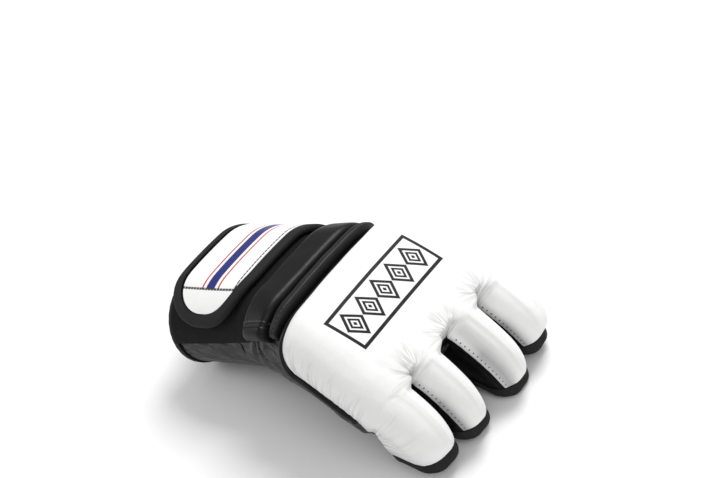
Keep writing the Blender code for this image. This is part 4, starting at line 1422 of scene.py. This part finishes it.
def make_thumb():
    thumb = Thumb()
    turns = spread(0, 1, 49)[:-1]
    rows = spread(0, 1, 30)

    def place(turn, point):
        return thumb.point(point[0], turn, point[1])

    sleeve = ring("thumb_finger", "white", turns, wall(rows, -THUMB_WALL, 0.0), place)
    hand_rows = spread(-WRIST_LENGTH * 0.6, PALM_LENGTH + RUN_ON / 2, 50)
    hand = plug("hand_cutter", FINE_GIRTHS, hand_rows, lambda g, s: hand_point(s, g, OVERLAP))
    cut(sleeve, hand)
    bpy.data.objects.remove(hand)
    tape = [(1 - b / thumb.length, out) for b, out in folded_tape(-THUMB_WALL, 0, TAPE_WIDTH)]
    binding = ring("thumb_binding", "tape", turns, tape, place)
    ride(sleeve, "thumb_sleeve")
    ride(binding, "thumb_tape")
    declare_sheet(sleeve, thumb.length, "thumb_panel", binding)
    return plug("thumb_cutter", turns, rows, lambda turn, row: thumb.point(row, turn, -THUMB_WALL))


hollow = make_thumb()
make_palm(hollow)
bpy.data.objects.remove(hollow)

# Piping, roll and band

PIPING_END = WRAP_START + 4 * MM
PIPING_TUCK = 0.12


def make_piping():
    """The piping runs round the padding's wrist end and up both sides. Its ends turn under."""
    out = PIPING_RADIUS + SEAM_GAP
    margin = PIPING_RADIUS + 2 * SEAM_GAP
    radius = PAD_CORNER + margin
    sides = spread(PIPING_END, radius - margin, 60)[:-1]
    corner = [math.radians(a) for a in range(0, 91, 5)]

    def half(name, side):
        girths = [mix(*PIPING_GIRTHS, s / PALM_LENGTH) for s in sides]
        girths[0] += PIPING_TUCK
        points = [shell_point(name, side * g, s, out) for g, s in zip(girths, sides)]
        for angle in corner:
            s = radius * (1 - math.sin(angle)) - margin
            edge = hand_section(s).distance_round(mix(*PIPING_GIRTHS, s / PALM_LENGTH))
            points.append(wrist_point(side * (edge - radius * (1 - math.cos(angle))), s, out))
        return points

    left, right = half(FIRST, -1), half(LAST, 1)
    start = hand_section(-margin).distance_round(PIPING_GIRTHS[0]) - radius
    across = [wrist_point(at, -margin, out) for at in spread(-start, start, 60)[1:-1]]
    piping = cord("edge_piping", "black", left + across + right[::-1], PIPING_RADIUS)
    ride(piping, "pad_piping")


make_piping()


def padded_bar(name, node, front, width, thickness, reach, seed, swell=0.0):
    """A padded bar across the wrist. It swells towards its end on the little finger's side."""
    length = reach[1] - reach[0]
    across = steps_between(0.0, 1.0, 1.1 * MM / length)
    rows = steps_between(0.0, 1.0, 0.8 * MM / width)

    def place(share, row, outer):
        out = LIE
        if outer:
            end = edge_height(min(share, 1 - share) * length, *BAR_END)
            side = edge_height(min(row, 1 - row) * width, min(width * 0.36, 4.5 * MM), 0.22, 2.2)
            out += (thickness + swell * smooth(share * 3 - 2)) * end * side
        return wrist_point(*flat(share, row), out)

    def flat(share, row):
        return mix(*reach, share), front - width + width * row

    bar = sheet(name, name, across, rows, place, flat=flat)
    move_along_normals(bar, soft_folds(16 * MM, 0.12 * MM, seed))
    ride(bar, node)


BAND_FRONT = -SEAM_WIDTH - ROLL_WIDTH - 2 * SEAM_GAP
BAND_SWELL = 3 * MM
padded_bar("thin_roll", "wrist_roll", -SEAM_WIDTH, ROLL_WIDTH, ROLL_THICKNESS, ROLL_REACH, 3)
padded_bar(
    "wide_band", "wrist_band", BAND_FRONT, BAND_WIDTH, BAND_THICKNESS, BAND_REACH, 5, BAND_SWELL
)

# Cuff and strap


def make_cuff():
    def place(girth, point):
        return hand_point(point[0], girth, point[1])

    rows = spread(-WRIST_LENGTH, CUFF_FRONT - SEAM_GAP, 40)
    walls = wall(rows, -CUFF_WALL, 0.0)
    cuff = ring("cuff_shell", "soft_black", FINE_GIRTHS, walls, place)
    tape = folded_tape(-CUFF_WALL, 0.0, STRAP_FRONT - STRAP_WIDTH + WRIST_LENGTH - SEAM_GAP)
    tape = [(back - WRIST_LENGTH, out) for back, out in tape]
    binding = ring("cuff_binding", "tape", FINE_GIRTHS, tape, place)
    ride(cuff, "cuff")
    ride(binding, "cuff_tape")
    declare_sheet(cuff, WRIST_LENGTH + CUFF_FRONT, "loop_panel", binding)


make_cuff()


def strap_columns(start, end, radius):
    """Places along a strap with half its width at each. Its end is a rounded one."""
    bend = end - radius
    columns = [(at, radius) for at in steps_between(start, bend, 1.5 * MM)]
    for angle in (3, 6, 10, 14, 19, 24, 30, 36, 42, 49, 56, 63, 70, 76, 82, 86):
        reach, half = (
            radius * f(math.radians(angle)) ** (2 / STRAP_END_POWER) for f in (math.sin, math.cos)
        )
        columns.append((bend + reach, half))
    return columns


STRAP_MIDDLE = STRAP_FRONT - STRAP_WIDTH / 2
PATCH_SHIFT = 1.5 * MM


def strap_sheet(name, finish, columns, low, thickness, ahead=0.0):
    def place(column, share, outer):
        out = low + (thickness if outer else 0)
        return wrist_point(column[0], STRAP_MIDDLE + ahead + share * column[1], out)

    def flat(column, share):
        return column[0], share * column[1]

    return sheet(name, finish, columns, spread(-1, 1, 41), place, flat=flat)


def make_loop_panel():
    """The field's end slants up to the wide band's."""
    rows = spread(STRAP_FRONT - STRAP_WIDTH, BAND_FRONT - BAND_WIDTH - 2 * SEAM_GAP, 50)

    def place(share, row, outer):
        slant = (row - rows[0]) / (rows[-1] - rows[0])
        end = mix(LOOP_REACH[1], BAND_REACH[1] + 0.8 * MM, slant)
        at = mix(LOOP_REACH[0], end, share)
        return wrist_point(at, row, LAYER_GAP + LOOP_THICKNESS if outer else LIE)

    panel = sheet("loop_field", "loop", spread(0, 1, 110), rows, place)
    ride(panel, "loop_panel")
    declare_sheet(panel, LOOP_REACH[1] - LOOP_REACH[0], "cuff")


make_loop_panel()


def make_strap():
    low = 3 * LAYER_GAP + LOOP_THICKNESS + TAPE_THICKNESS
    high = low + STRAP_THICKNESS
    start, end = STRAP_REACH[0], STRAP_REACH[1] - 2 * SEAM_GAP - TAPE_THICKNESS
    radius = STRAP_WIDTH / 2 - 2 * SEAM_GAP - TAPE_THICKNESS
    edge = strap_columns(start, end, radius)
    strap = strap_sheet("closing_strap", "black", edge, low, STRAP_THICKNESS)

    def tape_place(column, point):
        at, half, side = column
        back, out = point
        if at <= end - radius:
            at += back if at == start else 0
            return wrist_point(at, STRAP_MIDDLE + side * (half - back), out)
        bend, share = end - radius, 1 - back / radius
        return wrist_point(bend + (at - bend) * share, STRAP_MIDDLE + side * half * share, out)

    outline = [(start, radius, side) for side in spread(-1, 1, 31)[1:-1]]
    outline += [(*column, 1) for column in edge] + [(*column, -1) for column in reversed(edge)]
    tape = folded_tape(low, high, EDGE_TAPE_WIDTH)
    binding = ring("strap_binding", "tape", outline, tape, tape_place)
    inset = EDGE_TAPE_WIDTH + SEAM_GAP
    shape = strap_columns(PATCH_START, end - inset, radius - inset - PATCH_SHIFT)
    patch = strap_sheet(
        "end_patch", "patch", shape, high + 0.1 * MM, PATCH_THICKNESS, PATCH_SHIFT
    )
    ride(strap, "strap")
    ride(binding, "strap_tape")
    ride(patch, "strap_patch")
    declare_sheet(strap, STRAP_REACH[1] - STRAP_REACH[0], "loop_panel", binding)
    declare_sheet(patch, STRAP_REACH[1] - PATCH_START, "strap")


make_strap()

# Floor, light and camera

bpy.ops.mesh.primitive_plane_add(size=12)
floor = bpy.context.active_object
floor.name = "floor"
floor.location.z = -0.2 * MM
floor.data.materials.append(Finish("floor_paper", (0.9, 0.9, 0.9), 0.9).material)
floor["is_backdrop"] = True


def area_light(name, place, size, power):
    bpy.ops.object.light_add(type="AREA", location=place)
    light = bpy.context.active_object
    light.name = name
    light.data.shape = "SQUARE"
    light.data.size = size
    light.data.energy = power
    direction = LIGHTS_AIM - Vector(place)
    light.rotation_euler = direction.to_track_quat("-Z", "Y").to_euler()


LIGHTS_AIM = Vector((0, 0, 0.03))
area_light("key", (-0.6, 0.0, 0.95), 0.5, 10)
area_light("fill", (0.4, 0.8, 0.8), 0.8, 3.6)
area_light("rim", (0.5, -0.9, 0.6), 0.5, 2.5)
world = bpy.data.worlds.new("studio")
bpy.context.scene.world = world
world.use_nodes = True
background = world.node_tree.nodes["Background"]
background.inputs["Color"].default_value = (1, 1, 1, 1)
background.inputs["Strength"].default_value = 0.45
bpy.context.scene.view_settings.view_transform = "Standard"

# The photograph's own view: an 85 mm lens, turned a little about its line of sight
lens = bpy.data.cameras.new("photo_view")
lens.lens = 85
lens.sensor_width = 36
camera = bpy.data.objects.new("photo_view", lens)
bpy.context.scene.collection.objects.link(camera)
camera.location = (0.46088, 0.53044, 0.60440)
camera.rotation_euler = [math.radians(turn) for turn in (51.374, 15.573, 125.779)]
bpy.context.scene.camera = camera

sizes = {"cad": cad_box, "visual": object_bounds()}
sizes = {key: [list(corner) for corner in box] for key, box in sizes.items()}
